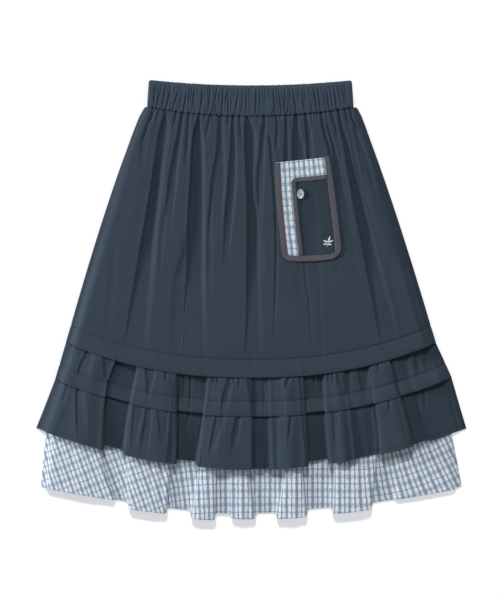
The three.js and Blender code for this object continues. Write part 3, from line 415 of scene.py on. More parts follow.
def smooth_ramp(start, end, value):
    """The same as ramp, but easing out of 0 and into 1."""
    part = ramp(start, end, value)
    return part * part * (3 - 2 * part)


def swell(x, place, width):
    """A soft rise to 1 at a place, that reaches about its width to each side."""
    return np.exp(-(((x - place) / width) ** 2))


def from_ends(x):
    """How far each place along a row is from the nearer end of the row."""
    return np.minimum(x - x[0], x[-1] - x)


def line_through(table, column, depth):
    """What a column of a table gives at a depth."""
    return np.interp(depth, table[:, 0], table[:, column])


def curve_through(values, stations, depth):
    """Smooth curves, one for each row of values, through the values at the stations."""
    depths = np.array(stations, float)
    depth = min(max(depth, depths[0]), depths[-1])
    before = np.clip(np.arange(len(depths)) - 1, 0, None)
    after = np.clip(np.arange(len(depths)) + 1, None, len(depths) - 1)
    slopes = (values[:, after] - values[:, before]) / (depths[after] - depths[before])
    k = min(np.searchsorted(depths, depth, side="right") - 1, len(depths) - 2)
    span = depths[k + 1] - depths[k]
    t = (depth - depths[k]) / span
    u = 1 - t
    ends = values[:, k] * u * u * (1 + 2 * t) + values[:, k + 1] * t * t * (1 + 2 * u)
    return ends + span * t * u * (slopes[:, k] * u - slopes[:, k + 1] * t)


def row_y(x, depth):
    """Y of the places x on a row, which curves up towards the sides."""
    rise, half, power = (line_through(ARCS, column, depth) for column in (1, 2, 3))
    return SEAM_Y - depth + rise * np.abs(x / half) ** power


def hip_bulge(depth):
    """How much of the hips' bulge the side seams have at a depth."""
    part = ramp(0, TUCK_EDGE, depth)
    return math.sqrt(part) * (1 - part)


def left_side(depth):
    return line_through(SIDES, 1, depth) - HIP_BULGE_LEFT * hip_bulge(depth)


def right_side(depth):
    return line_through(SIDES, 2, depth) + HIP_BULGE_RIGHT * hip_bulge(depth)


def edge_shape(change, radius, steep):
    """How far across an edge reaches, and its points as parts of the way across and up."""
    size = max(0.2, abs(change))
    gentlest = math.acos(max(-1, 1 - 0.4 * size / radius))
    angle = min(math.radians(steep), gentlest)
    flank = (size - 2 * radius * (1 - math.cos(angle))) / math.sin(angle)
    width = 2 * radius * math.sin(angle) + flank * math.cos(angle)
    turns = angle * np.arange(BEND_CELLS + 1) / BEND_CELLS
    across = radius * np.sin(turns) / width
    up = radius * (1 - np.cos(turns)) / size
    return width, np.concatenate((across, 1 - across[::-1])), np.concatenate((up, 1 - up[::-1]))


def fold_row(ends, side_height, folds, edges, cells):
    """One row of folded cloth, as arrays x, z and reach.

    folds is (height, reach, slope) for each fold, edges (place, radius, steep) for each
    edge and cells the number of cells across each fold. The side edges come down to
    the seam that joins the front to the back."""
    xs, zs, reaches = [ends[0], ends[0]], [SIDE_SEAM_HEIGHT, side_height], [folds[0][1]] * 2
    start = ends[0]
    for k, (place, radius, steep) in enumerate(edges):
        middle, reach, slope = folds[k]
        next_middle, next_reach, next_slope = folds[k + 1]
        height = middle - slope / 2
        next_height = next_middle + next_slope / 2
        width, across, up = edge_shape(next_height - height, radius, steep)
        width = max(width, NARROWEST_EDGE)
        end = place - width / 2
        part = np.arange(1, cells[k]) / max(cells[k], 1)
        raised = max(0, height - LOWEST_FOLD)
        crown = CROWN * np.sin(math.pi * part) ** 2
        crown += RIPPLE * np.sin(2 * math.pi * (1.5 * part + 0.37 * k))
        xs.extend(start + (end - start) * part)
        zs.extend(height + slope * (1 - part) + raised * crown)
        reaches.extend([reach] * len(part))
        xs.extend(end + width * across)
        zs.extend(height + (next_height - height) * up)
        reaches.extend(reach + (next_reach - reach) * up)
        start = end + width
    xs.extend((ends[1], ends[1]))
    zs.extend((side_height, SIDE_SEAM_HEIGHT))
    reaches.extend([folds[-1][1]] * 2)
    return np.array(xs), np.array(zs), np.array(reaches)


def cells_between(places):
    """Cells for each fold between the places of its edges, none for the side rolls."""
    counts = np.round(np.diff(places) / CELL).astype(int)
    return [0, *np.maximum(counts[1:-1] - 3, 4), 0]


def front_places(depth):
    """Places of the edges between the front's folds, with its side rolls."""
    roll = curve_through(SIDE_ROLL, STATIONS, depth)[0]
    inner = curve_through(FRONT_EDGES[:, :6], STATIONS, depth)
    return [left_side(depth) + roll, *inner, right_side(depth) - roll]


FRONT_CELLS = cells_between([left_side(HEM_EDGE), *front_places(480), right_side(HEM_EDGE)])


def front_row(depth):
    """A row of the dark front's large folds, as arrays x, z and reach."""
    side_height = line_through(SIDE_HEIGHTS, 1, depth)
    heights = curve_through(FRONT_FOLDS[:, :6], STATIONS, depth)
    tiers = smooth_ramp(335, STITCH_1, depth)
    slopes = FRONT_FOLDS[:, 7] * (0.3 * smooth_ramp(20, 120, depth) + 0.7 * tiers)
    folds = [(side_height, 1, 0), *zip(heights, FRONT_FOLDS[:, 6], slopes), (side_height, 1, 0)]
    bends = [SIDE_EDGE, *FRONT_EDGES[:, 6:], SIDE_EDGE]
    edges = [
        (place, panel + (tier - panel) * tiers, steep)
        for place, (panel, tier, steep) in zip(front_places(depth), bends)
    ]
    return fold_row((left_side(depth), right_side(depth)), side_height, folds, edges, FRONT_CELLS)


def frill_ends(depth):
    return line_through(FRILL_SIDES, 1, depth), line_through(FRILL_SIDES, 2, depth)


def frill_places(depth):
    """Places of the frill's edges, between its two sides."""
    left, right = frill_ends(depth)
    roll = curve_through(FRILL_ROLL, FRILL_STATIONS, depth)[0]
    inner = curve_through(FRILL_EDGES[:, :3], FRILL_STATIONS, depth)
    return [left, left + roll, *inner, right - roll, right]


FRILL_CELLS = cells_between(frill_places(560))


def frill_row(depth):
    """A row of the frill's large folds, as arrays x, z and reach."""
    side_height = line_through(FRILL_SIDE_HEIGHTS, 1, depth)
    heights = curve_through(FRILL_FOLDS[:, :3], FRILL_STATIONS, depth)
    inner = [(height, reach, 0) for height, reach in zip(heights, FRILL_FOLDS[:, 3])]
    folds = [(side_height, 0, 0), *inner, (side_height, 0, 0)]
    left, *places, right = frill_places(depth)
    bends = [FRILL_SIDE_EDGE, *FRILL_EDGES[:, 3:], FRILL_SIDE_EDGE]
    edges = [(place, radius, steep) for place, (radius, steep) in zip(places, bends)]
    return fold_row((left, right), side_height, folds, edges, FRILL_CELLS)


def band_relief(x, down, bands):
    """Height of the low bands at places (x, down), with a line pressed in at each left
    edge and a rounded shoulder beside it. Each band fades in fast and out slowly."""
    relief = np.zeros_like(x)
    for deep, soft_left, soft_right, path in bands:
        downs, left_edge, right_edge = np.array(path, float).T
        left = np.interp(down, downs, left_edge)
        right = np.interp(down, downs, right_edge)
        width = np.where(right == left, 0.1, right - left)
        start, end = downs[0], downs[-1]
        fade = smooth_ramp(start - 4, start + 3, down)
        fade *= 1 - smooth_ramp((start + end) / 2, end, down)
        inside = smooth_ramp(-soft_left / 2, soft_left / 2, x - left)
        inside *= 1 - smooth_ramp(-soft_right / 2, soft_right / 2 + 1, x - right)
        lean = 0.72 + 0.3 * ramp(0, 1, (x - left) / width)
        crisp = 0.3 if soft_left < 2 else 0
        line = crisp * swell(x, left + 1.0, 0.9)
        shoulder = 0.12 * swell(x, left - 2.4, 1.8)
        relief += deep * fade * (shoulder - inside * lean - line)
    return relief


def surface_normals(points):
    """Normals of a grid of points, on its upper side."""
    across = np.gradient(points, axis=1)
    down = np.gradient(points, axis=0)
    normals = np.cross(down, across)
    normals /= np.maximum(np.linalg.norm(normals, axis=2, keepdims=True), 1e-9)
    return normals


def cloth_surface(rows, row_points):
    """A grid of points. Each row is (depth, offset): the folded row at that depth, moved
    out by up to half the cloth along its normals and by the rest straight up."""
    offsets = np.array([offset for _, offset in rows])
    points = np.array([row_points(depth) for depth, _ in rows])
    outward = np.clip(offsets, -HALF_CLOTH, HALF_CLOTH)
    points += surface_normals(points) * outward[:, None, None]
    points[:, :, 2] += (offsets - outward)[:, None]
    return points


def row_length(points):
    """Length along a row of points, as the cloth runs."""
    steps = np.linalg.norm(np.diff(points, axis=0), axis=1)
    return np.concatenate(((0,), np.cumsum(steps)))


def grain_uv(across, along):
    """Places on the flat cloth for a grid with these lengths across it and down it."""
    return np.stack(np.broadcast_arrays(across[None, :], along[:, None]), -1)


def make_mesh(name, points, faces, uv, material):
    """A smooth mesh of four-sided faces, in metres and in the row's frame."""
    mesh = bpy.data.meshes.new(name)
    mesh.from_pydata(((points - MIDDLE) / 1000).tolist(), [], faces.tolist())
    layer = mesh.uv_layers.new(name="cloth")
    layer.data.foreach_set("uv", (uv[faces.ravel()] / 1000).ravel())
    mesh.shade_smooth()
    mesh.materials.append(material)
    piece = bpy.data.objects.new(name, mesh)
    bpy.context.scene.collection.objects.link(piece)
    return piece


def grid_faces(index):
    """Faces between the point numbers in a grid."""
    corners = (index[:-1, :-1], index[1:, :-1], index[1:, 1:], index[:-1, 1:])
    return np.stack(corners, -1).reshape(-1, 4)


def sheet_mesh(name, points, uv, material):
    """A mesh of one sheet of cloth from a grid of points."""
    faces = grid_faces(np.arange(points[..., 0].size).reshape(points.shape[:2]))
    return make_mesh(name, points.reshape(-1, 3), faces, uv.reshape(-1, 2), material)


def shell_mesh(name, upper, lower, uv, material):
    """A closed thin body between two grids of points."""
    count = upper[..., 0].size
    index = np.arange(count).reshape(upper.shape[:2])
    top = grid_faces(index)
    rim = np.concatenate((index[0, :-1], index[:-1, -1], index[-1, :0:-1], index[:0:-1, 0]))
    following = np.roll(rim, -1)
    walls = np.stack((rim, following, following + count, rim + count), -1)
    faces = np.concatenate((top, top[:, ::-1] + count, walls))
    points = np.concatenate((upper.reshape(-1, 3), lower.reshape(-1, 3)))
    return make_mesh(name, points, faces, np.tile(uv.reshape(-1, 2), (2, 1)), material)


# Materials
def linear(red, green, blue):
    """A colour as the photo shows it, 0 to 255, in the shader's linear values."""
    return (*(((value / 255 + 0.055) / 1.055) ** 2.4 for value in (red, green, blue)), 1)


def toned(colour, share):
    """A colour made darker by a share below 1, or lighter by one above it."""
    return (*(value * share for value in colour[:3]), 1)


class Nodes:
    """Adds nodes to a material, and joins them by name."""

    def __init__(self, name):
        self.material = bpy.data.materials.new(name)
        self.material.use_nodes = True
        self.tree = self.material.node_tree
        self.shader = self.tree.nodes["Principled BSDF"]

    def feed(self, node, inputs):
        """Joins each input to the socket given for it, or sets its value."""
        for key, value in inputs.items():
            if isinstance(value, bpy.types.NodeSocket):
                self.tree.links.new(value, node.inputs[key])
            else:
                node.inputs[key].default_value = value

    def add(self, kind, inputs, **settings):
        node = self.tree.nodes.new(kind)
        for key, value in settings.items():
            setattr(node, key, value)
        self.feed(node, inputs)
        return node

    def place(self, kind="UV"):
        return self.add("ShaderNodeTexCoord", {}).outputs[kind]

    def parts(self, vector):
        return self.add("ShaderNodeSeparateXYZ", {0: vector}).outputs

    def math(self, operation, *values):
        return self.add("ShaderNodeMath", dict(enumerate(values)), operation=operation).outputs[0]

    def vector_math(self, operation, *values):
        node = self.add("ShaderNodeVectorMath", dict(enumerate(values)), operation=operation)
        return node.outputs[0]

    def noise(self, vector, scale, detail=2.0, output="Fac"):
        inputs = {"Vector": vector, "Scale": scale, "Detail": detail}
        return self.add("ShaderNodeTexNoise", inputs).outputs[output]

    def grain(self, vector, across, along, detail=2.0):
        """Noise with its own fineness across the cloth and along it."""
        inputs = {"Vector": vector, "Scale": (across, along, 1)}
        return self.noise(self.add("ShaderNodeMapping", inputs).outputs[0], 1.0, detail)

    def mix(self, factor, first, second):
        inputs = {0: factor, 6: first, 7: second}
        return self.add("ShaderNodeMix", inputs, data_type="RGBA").outputs[2]

    def bump(self, height, distance, strength, before=None):
        inputs = {"Height": height, "Distance": distance, "Strength": strength}
        if before is not None:
            inputs["Normal"] = before
        return self.add("ShaderNodeBump", inputs).outputs[0]

    def wave(self, value, length):
        return self.math("SINE", self.math("MULTIPLY", value, 2 * math.pi / length))

    def weave(self, vector, pitch):
        """Height of a plain weave: each thread goes over and under its neighbours."""
        parts = self.parts(vector)
        return self.math("MULTIPLY", self.wave(parts[0], 2 * pitch), self.wave(parts[1], 2 * pitch))

    def finish(self, colour, normal, roughness, specular=0.5, sheen=0.0, **others):
        """Feeds the shader and returns the material. Others are inputs such as coat_weight."""
        inputs = {
            "Base Color": colour, "Normal": normal, "Roughness": roughness,
            "Specular IOR Level": specular, "Sheen Weight": sheen, "Sheen Roughness": 0.5,
        }
        for name, value in others.items():
            inputs[name.replace("_", " ").title()] = value
        self.feed(self.shader, inputs)
        return self.material


def dark_cloth(name, colour, crinkle):
    """Matt slate blue cloth with fine crinkles along the warp."""
    nodes = Nodes(name)
    uv = nodes.place()
    streaks = nodes.grain(uv, 620, 26, 3.0)
    patches = nodes.noise(uv, 22.0)
    threads = nodes.grain(uv, 1000, 420)
    total = nodes.math("ADD", streaks, nodes.math("ADD", patches, threads))
    shade = nodes.math("SMOOTH_MAX", nodes.math("MULTIPLY", total, 0.333), 0.2, 0.1)
    tone = nodes.mix(shade, toned(colour, 0.78), toned(colour, 1.22))
    woven = nodes.bump(nodes.weave(uv, 0.00055), 0.0002, 0.35)
    fine = nodes.bump(streaks, 0.0012, crinkle, woven)
    normal = nodes.bump(patches, 0.004, 0.25, fine)
    return nodes.finish(tone, normal, 0.85, 0.12, 0.08, sheen_tint=(0.75, 0.85, 1, 1))


def stripe(nodes, value, repeat, centre, width, soft):
    """1 inside a stripe that repeats along value, 0 outside, with soft edges."""
    shifted = nodes.math("ADD", value, 0.5 * repeat - centre)
    inside = nodes.math("SUBTRACT", nodes.math("FLOORED_MODULO", shifted, repeat), 0.5 * repeat)
    distance = nodes.math("ABSOLUTE", inside)
    inputs = {"Value": distance, 1: 0.5 * width - soft, 2: 0.5 * width + soft, 3: 1.0, 4: 0.0}
    return nodes.add("ShaderNodeMapRange", inputs, interpolation_type="SMOOTHSTEP").outputs[0]


def flecked(nodes, stripes, flecks, least, most):
    """The sum of some stripes, each a socket and its strength, broken up by flecks."""
    first, second = (nodes.math("MULTIPLY", socket, strength) for socket, strength in stripes)
    uneven = nodes.math("ADD", least, nodes.math("MULTIPLY", flecks, most))
    return nodes.math("MULTIPLY", nodes.math("ADD", first, second), uneven)


# The check's repeat across the cloth and along it, and how far its threads wander
CHECK_WIDTH = 0.0152
CHECK_LENGTH = 0.0212
CHECK_WOBBLE = 0.0022


def check_cloth(name):
    """White seersucker with blue checks: wide soft stripes and narrow dark ones."""
    nodes = Nodes(name)
    uv = nodes.place()
    centred = nodes.vector_math("SUBTRACT", nodes.noise(uv, 130.0, 1.0, "Color"), (0.5, 0.5, 0.5))
    shift = nodes.vector_math("MULTIPLY", centred, (CHECK_WOBBLE, CHECK_WOBBLE, 0))
    across, along, _ = nodes.parts(nodes.vector_math("ADD", uv, shift))
    wide = stripe(nodes, across, CHECK_WIDTH, 0.25 * CHECK_WIDTH, 0.0042, 0.0008)
    narrow = stripe(nodes, across, CHECK_WIDTH, 0.75 * CHECK_WIDTH, 0.0021, 0.0005)
    band = stripe(nodes, along, CHECK_LENGTH, 0.0155, 0.0056, 0.0014)
    line = stripe(nodes, along, CHECK_LENGTH, 0.0050, 0.0021, 0.0007)
    warp = flecked(nodes, ((wide, 0.68), (narrow, 0.74)), nodes.grain(uv, 900, 260), 0.35, 1.3)
    weft = flecked(nodes, ((band, 0.38), (line, 0.48)), nodes.grain(uv, 260, 900), 0.25, 1.5)
    clear = nodes.math("MULTIPLY", nodes.math("SUBTRACT", 1.0, warp), nodes.math("SUBTRACT", 1.0, weft))
    blue = nodes.math("SUBTRACT", 1.0, clear)
    tone = nodes.mix(blue, linear(230, 234, 238), linear(62, 112, 152))
    woven = nodes.bump(nodes.weave(uv, 0.0006), 0.0002, 0.3)
    normal = nodes.bump(nodes.grain(uv, 420, 150), 0.0022, 0.55, woven)
    return nodes.finish(tone, normal, 0.88, 0.2, 0.03)


def tape_cloth(name):
    """Satin tape with fine ribs across its width."""
    nodes = Nodes(name)
    uv = nodes.place()
    ribs = nodes.wave(nodes.parts(uv)[1], 0.0009)
    flecks = nodes.grain(uv, 700, 400, 4.0)
    tone = nodes.mix(flecks, linear(36, 36, 44), linear(106, 104, 116))
    normal = nodes.bump(flecks, 0.0008, 0.3, nodes.bump(ribs, 0.0003, 0.5))
    return nodes.finish(tone, normal, 0.7, 0.25, 0.05)


def shell_finish(name):
    """Pearly shell: pale with cool and brown clouds under a gloss coat."""
    nodes = Nodes(name)
    place = nodes.place("Object")
    clouds = nodes.noise(place, 260.0, 3.0)
    pale = nodes.mix(clouds, linear(58, 96, 142), linear(222, 228, 234))
    stain = nodes.math("MULTIPLY", nodes.noise(place, 480.0), 0.35)
    tone = nodes.mix(stain, pale, linear(140, 128, 118))
    normal = nodes.bump(clouds, 0.0004, 0.25)
    return nodes.finish(tone, normal, 0.22, coat_weight=0.6, coat_roughness=0.1)


def thread_finish(name, colour, roughness):
    """Twisted thread: fine slanted ply lines."""
    nodes = Nodes(name)
    uv = nodes.place()
    across, along, _ = nodes.parts(uv)
    slant = nodes.math("ADD", across, nodes.math("MULTIPLY", along, 2.0))
    tone = nodes.mix(nodes.grain(uv, 900, 900), toned(colour, 0.8), colour)
    ply = nodes.bump(nodes.wave(slant, 0.0006), 0.0002, 0.6)
    return nodes.finish(tone, ply, roughness, 0.3)


SLATE = dark_cloth("slate_cloth", linear(48.5, 59.5, 71), 0.42)
# The patch is the same slate cloth, and this darker copy of it is painted shade
SLATE_PATCH_PAINTED_SHADE = dark_cloth("slate_patch_painted_shade_cloth", linear(43, 55, 65), 0.30)
SLATE_BAND = dark_cloth("slate_band_cloth", linear(53, 65, 78), 0.40)
CHECK = check_cloth("blue_check_cloth")
TAPE = tape_cloth("grey_tape")
SHELL = shell_finish("shell_button")
DARK_THREAD = thread_finish("slate_thread", linear(33, 40, 49), 0.8)
TAPE_THREAD = thread_finish("grey_thread", linear(86, 84, 94), 0.6)
WHITE_THREAD = thread_finish("white_thread", linear(242, 244, 246), 0.5)

pieces = {}


def dress(key, piece, slot, *nodes):
    """Puts a finished piece on the skirt, in place of the solids that it stands for."""
    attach(piece, "root")
    if nodes:
        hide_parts(*nodes)
    pieces[key] = piece


# Main panel and tiers
def seam_scallops(x, width):
    """How far the seam is drawn in at its notches, from 0 to 1."""
    return np.minimum(sum(strength * swell(x, place, width) for place, strength in SEAM_NOTCHES), 1)


def levelled(x, z, level, share):
    """Heights drawn a share of the way to a level, but for the rolls at the sides."""
    return z + share * smooth_ramp(3, 18, from_ends(x)) * (level - z)


def panel_points(depth):
    """A row of the main panel. Its folds settle to a level that rises towards the tuck,
    and its gathers start at the notches of the waistband seam."""
    x, z, _ = front_row(depth)
    y = row_y(x, depth)
    inside = ramp(0, SIDE_FADE, from_ends(x))
    relief = band_relief(x, SEAM_Y - y, PANEL_BANDS)
    relief *= 1 - 0.3 * smooth_ramp(*FADING, depth) - 0.55 * smooth_ramp(STITCH_1 - 24, STITCH_1, depth)
    fullness = FULLNESS * smooth_ramp(-3, 9, depth) * (1 - smooth_ramp(60, 260, depth))
    tuck_in = -0.5 * (1 - smooth_ramp(0, 3, depth))
    level = PANEL_LEVEL + PANEL_RISE * smooth_ramp(*RISING, depth)
    level -= PANEL_FALL * ramp(RISING[1], TUCK_EDGE, depth)
    z = levelled(x, z, level, 0.96 * smooth_ramp(*SETTLING, depth))
    lift = NOTCH_DEPTH * (1 - smooth_ramp(0, 7, depth)) * seam_scallops(x, 1.8)
    relief -= NOTCH_DEPTH * (1 - smooth_ramp(1, 14, depth)) * seam_scallops(x - 0.002 * x * depth, 1.1)
    height = z + (relief + fullness + tuck_in) * inside
    lowest = 1 + LOWEST_FRONT * inside + z * (1 - inside)
    height = np.where(height < lowest, lowest - 1 + np.exp(np.minimum(height - lowest, 0)), height)
    return np.stack((x, y + lift, height), -1)


def tier_points(depth, seam, bands):
    """A row of a tier: flat under its seam, and swelling out just below it."""
    x, z, reach = front_row(depth)
    y = row_y(x, depth)
    if seam == TUCK_EDGE:
        z = levelled(x, z, TIER_LEVEL, 0.55 * smooth_ramp(STITCH_2 - 12, TIER_EDGE, depth))
    drop = HEM_DROP * smooth_ramp(TUCK_EDGE, HEM_EDGE, depth)
    room = np.clip((z - 3.3) / 2.4, 0, 1) * ramp(0, SIDE_FADE, from_ends(x))
    below = smooth_ramp(seam - 1, seam + 5, depth) * (1 - smooth_ramp(seam + 12, seam + 60, depth))
    relief = band_relief(x, SEAM_Y - y, bands) + 1.4 * below
    under = 1 - 0.8 * (1 - smooth_ramp(seam - 3, seam + 1, depth))
    return np.stack((x, y - drop * reach, z + relief * under * room), -1)


def upper_points(depth):
    return tier_points(depth, TUCK_EDGE, UPPER_BANDS)


def lower_points(depth):
    return tier_points(depth, TIER_EDGE, LOWER_BANDS)


def tucked_rows(start, stitch, edge, step):
    """Depths and offsets of rows down to a tuck's folded edge and back under it."""
    plain = [(depth, HALF_CLOTH) for depth in np.arange(start, stitch - 3, step)]
    seam = [(stitch - 1.3, 0.55), (stitch - 0.5, 0.0), (stitch + 0.5, 0.0), (stitch + 1.1, 0.75)]
    top = HALF_CLOTH + TUCK_LIFT
    band = [
        (depth, 0.9 + (top - 0.9) * smooth_ramp(stitch, edge - 4, depth))
        for depth in np.arange(stitch + 2, edge - 1.5, step)
    ]
    fold = [(edge - 0.7, top - 0.1), (edge + 0.1, top - 0.7), (edge + 0.4, top - 1.4)]
    under = [(edge, TUCK_UNDER + 0.3), (edge - 1.5, TUCK_UNDER), (edge - 8, TUCK_UNDER)]
    return plain + seam + band + fold + under


def hemmed_rows(start, edge, step):
    """Depths and offsets of rows down to a stitched hem, and its turning."""
    stitch = edge - HEM_STITCH
    plain = [(depth, HALF_CLOTH) for depth in np.arange(start, stitch - 2, step)]
    seam = [(stitch - 1, 0.55), (stitch, 0.2), (stitch + 1, 0.65)]
    fold = [(edge - 1.6, 0.8), (edge - 0.5, 0.65), (edge, 0.2), (edge, -0.3)]
    under = [(edge - 0.8, -0.6), (stitch, -0.6)]
    return plain + seam + fold + under


def cloth_piece(name, grid, middle_row):
    """One sheet of dark cloth, whose grain follows the cloth's own length."""
    across = row_length(middle_row)
    along = row_length(grid[:, len(across) // 2])
    return sheet_mesh(name, grid, grain_uv(across, along), SLATE)


panel_grid = cloth_surface(tucked_rows(0, STITCH_1, TUCK_EDGE, PANEL_STEP), panel_points)
dress("panel_front", cloth_piece("panel_front_cloth", panel_grid, panel_points(STATIONS[2])),
      "dark_cloth", "skirt_front")
upper_grid = cloth_surface(tucked_rows(UPPER_START, STITCH_2, TIER_EDGE, TIER_STEP), upper_points)
dress("upper_front", cloth_piece("ruffle_upper_front_cloth", upper_grid, upper_points(410)),
      "dark_cloth", "ruffle_upper_front")
lower_grid = cloth_surface(hemmed_rows(LOWER_START, HEM_EDGE, TIER_STEP), lower_points)
dress("lower_front", cloth_piece("ruffle_lower_front_cloth", lower_grid, lower_points(490)),
      "dark_cloth", "ruffle_lower_front")


# Checked frill: its grain leans in towards the middle at the sides
GRAIN_LEAN = np.array((
    (-316, 22), (-150, 21), (-125, 19), (-110, 9), (-90, 7), (-60, 2), (-20, 0),
    (150, 0), (180, 6), (220, 15), (260, 22), (314, 27),
))


def frill_points(depth):
    """A row of the frill, with its gathers pressed in below the second tier's hem."""
    x, z, reach = frill_row(depth)
    drop = FRILL_DROP * smooth_ramp(FRILL_STATIONS[1], FRILL_EDGE, depth)
    room = np.clip((z - 3.2) / 4, 0, 1) * ramp(0, 6, from_ends(x))
    relief = np.zeros_like(x)
    for place, length, deep, width in FRILL_GATHERS:
        share = smooth_ramp(500, 530, depth) * (1 - smooth_ramp(530 + 0.5 * length, 530 + length, depth))
        relief -= deep * share * swell(x, place, width)
    return np.stack((x, row_y(x, depth) - drop * reach, z + relief * room), -1)


def frill_piece():
    points = cloth_surface(hemmed_rows(FRILL_START, FRILL_EDGE, FRILL_STEP), frill_points)
    middle = frill_points(555)
    lean = np.tan(np.radians(np.interp(middle[:, 0], GRAIN_LEAN[:, 0], GRAIN_LEAN[:, 1])))
    turned = np.concatenate(((0,), np.cumsum(0.5 * (lean[1:] + lean[:-1]) * np.diff(middle[:, 0]))))
    down = points[:, :, 1] - middle[:, 1]
    across = row_length(middle) + points[:, :, 0] - middle[:, 0] + down * lean
    uv = np.stack((across, points[:, :, 1] - turned), -1)
    return sheet_mesh("check_frill_front_cloth", points, uv, CHECK)


dress("frill_front", frill_piece(), "check_cloth", "check_frill_front")


# Layers of the back, lying flat under the front
BACK_COLUMNS = 150
STACKED = CLOTH + 0.3


def back_piece(name, depths, ends, seam, landing, material):
    """A closed thin sheet with soft gathers under its seam. It starts on top of the layer
    above it, and comes down to the table between the two depths of its landing."""
    upper, lower, uv = [], [], []
    for depth in depths:
        x = np.linspace(*ends(depth), BACK_COLUMNS + 1)
        y = row_y(x, depth)
        floor = STACKED * (1 - ramp(*landing, depth))
        inside = np.sin(math.pi * np.linspace(0, 1, BACK_COLUMNS + 1))
        wave = 0.5 + 0.5 * np.sin(math.pi * (x / (11 + depth / 60)) + 1.3 * np.sin(x / 37))
        fade = 0.35 * (1 - smooth_ramp(seam + 10, seam + 70, depth)) + 0.1
        upper.append(np.stack((x, y, floor + CLOTH - fade * wave * inside), -1))
        lower.append(np.stack((x, y, floor + 0.25 * fade * wave * inside), -1))
        uv.append(np.stack((x - x[0], np.full_like(x, depth)), -1))
    return shell_mesh(name, np.array(upper), np.array(lower), np.array(uv), material)


def dark_ends(depth):
    """Ends of a row of the dark back, as far out as the front, which hangs lower there."""
    level = depth - HEM_DROP * smooth_ramp(TUCK_EDGE, HEM_EDGE, depth)
    return left_side(level), right_side(level)


dress("panel_back", back_piece(
    "panel_back_cloth", np.linspace(0, TUCK_EDGE, 60), dark_ends, 0, (-1, 0), SLATE,
), "dark_cloth", "skirt_back")
dress("upper_back", back_piece(
    "ruffle_upper_back_cloth", np.linspace(378, TIER_EDGE, 24), dark_ends, TUCK_EDGE, (392, 401), SLATE,
), "dark_cloth", "ruffle_upper_back")
dress("lower_back", back_piece(
    "ruffle_lower_back_cloth", np.linspace(437, HEM_EDGE, 28), dark_ends, TIER_EDGE, (447, 456), SLATE,
), "dark_cloth", "ruffle_lower_back")
dress("frill_back", back_piece(
    "check_frill_back_cloth", np.linspace(464, 588, 40), frill_ends, HEM_EDGE, (522, 531), CHECK,
), "check_cloth", "check_frill_back")


# Waistband
BAND_COLUMNS = 760
BACK_BAND_COLUMNS = 300
BACK_BAND_ROWS = 16
BAND_FULLNESS = 1.6
BAND_FLOOR = 4.2
BAND_THICK = 3.0
RIB_DEPTH = 1.5


def band_rib(x, down):
    """Height of the band's puckers at one row of it: near 1, and lower in its creases."""
    uneven = np.sin(x / 5.3 + 2.1 * np.sin(x / 17)) + np.sin(x / 2.3 + 1.7 * np.sin(x / 11))
    height = 1 + 0.13 * uneven * math.sin(math.pi * min(1, down + 0.1))
    for top, low, start, end, deep in BAND_CREASES:
        part = (down - start) / (end - start)
        share = smooth_ramp(-0.15, 0.45, part) * (1 - smooth_ramp(0.6, 1.15, part))
        side = x - (top + (low - top) * part)
        width = 0.45 + 0.35 * deep
        trough = np.exp(-np.abs(side / width) ** 1.5)
        pillow = 0.16 * swell(side, 2.2, 1.5) + 0.08 * swell(side, -2.2, 1.5)
        height += 1.25 * share * deep * (pillow - trough)
    return height


def band_taper(down):
    """How much the band draws in towards its top edge, as parts of its width."""
    return 1 - 0.014 * (1 - down) ** 1.5


def band_top(x, height):
    """The band's curved top edge, at a height above the seam."""
    return SEAM_Y + height + BAND_CURVE * (x / BAND_LEFT) ** 2


def front_band():
    """Half of the casing: its rows go over the top edge, down to the seam and under."""
    profile = (
        (0.035, 0.0), (0.012, 0.05), (0.0, 0.35), (0.012, 0.68), (0.04, 0.85), (0.075, 0.8),
        (0.09, 0.86), (0.13, 0.95), *((down, 1.0) for down in np.linspace(0.2, 0.76, 8)),
        (0.83, 1.0), (0.89, 0.97), (0.935, 0.92), (0.965, 0.84), (0.985, 0.7), (1.0, 0.3),
    )
    x = np.linspace(BAND_LEFT, BAND_RIGHT, BAND_COLUMNS + 1)
    rounding = np.sqrt(np.clip(1 - (1 - ramp(0, 3, from_ends(x))) ** 2, 0, 1))
    points, uv = [], []
    for down, full in profile:
        top = band_top(x, BAND_HEIGHT_FRONT) - 2.5 * (1 - rounding)
        seam = row_y(x, 0) + 2.6 * seam_scallops(x, 1.6) * smooth_ramp(0.8, 1, down)
        rib = band_rib(x, down)
        y = top + (seam - top) * down + 0.35 * (rib - 0.6) * (1 - ramp(0, 0.08, down))
        body = BAND_THICK * full + RIB_DEPTH * (rib - 0.4) * smooth_ramp(0, 0.6, full)
        z = BAND_FLOOR + np.maximum(body * rounding, -2.2 * (1 - rounding))
        points.append(np.stack((x * band_taper(down), y, z), -1))
        uv.append(np.stack((BAND_FULLNESS * (x - x[0]), np.full_like(x, BAND_HEIGHT_FRONT * down)), -1))
    return sheet_mesh("waistband_front_cloth", np.array(points), np.array(uv), SLATE_BAND)


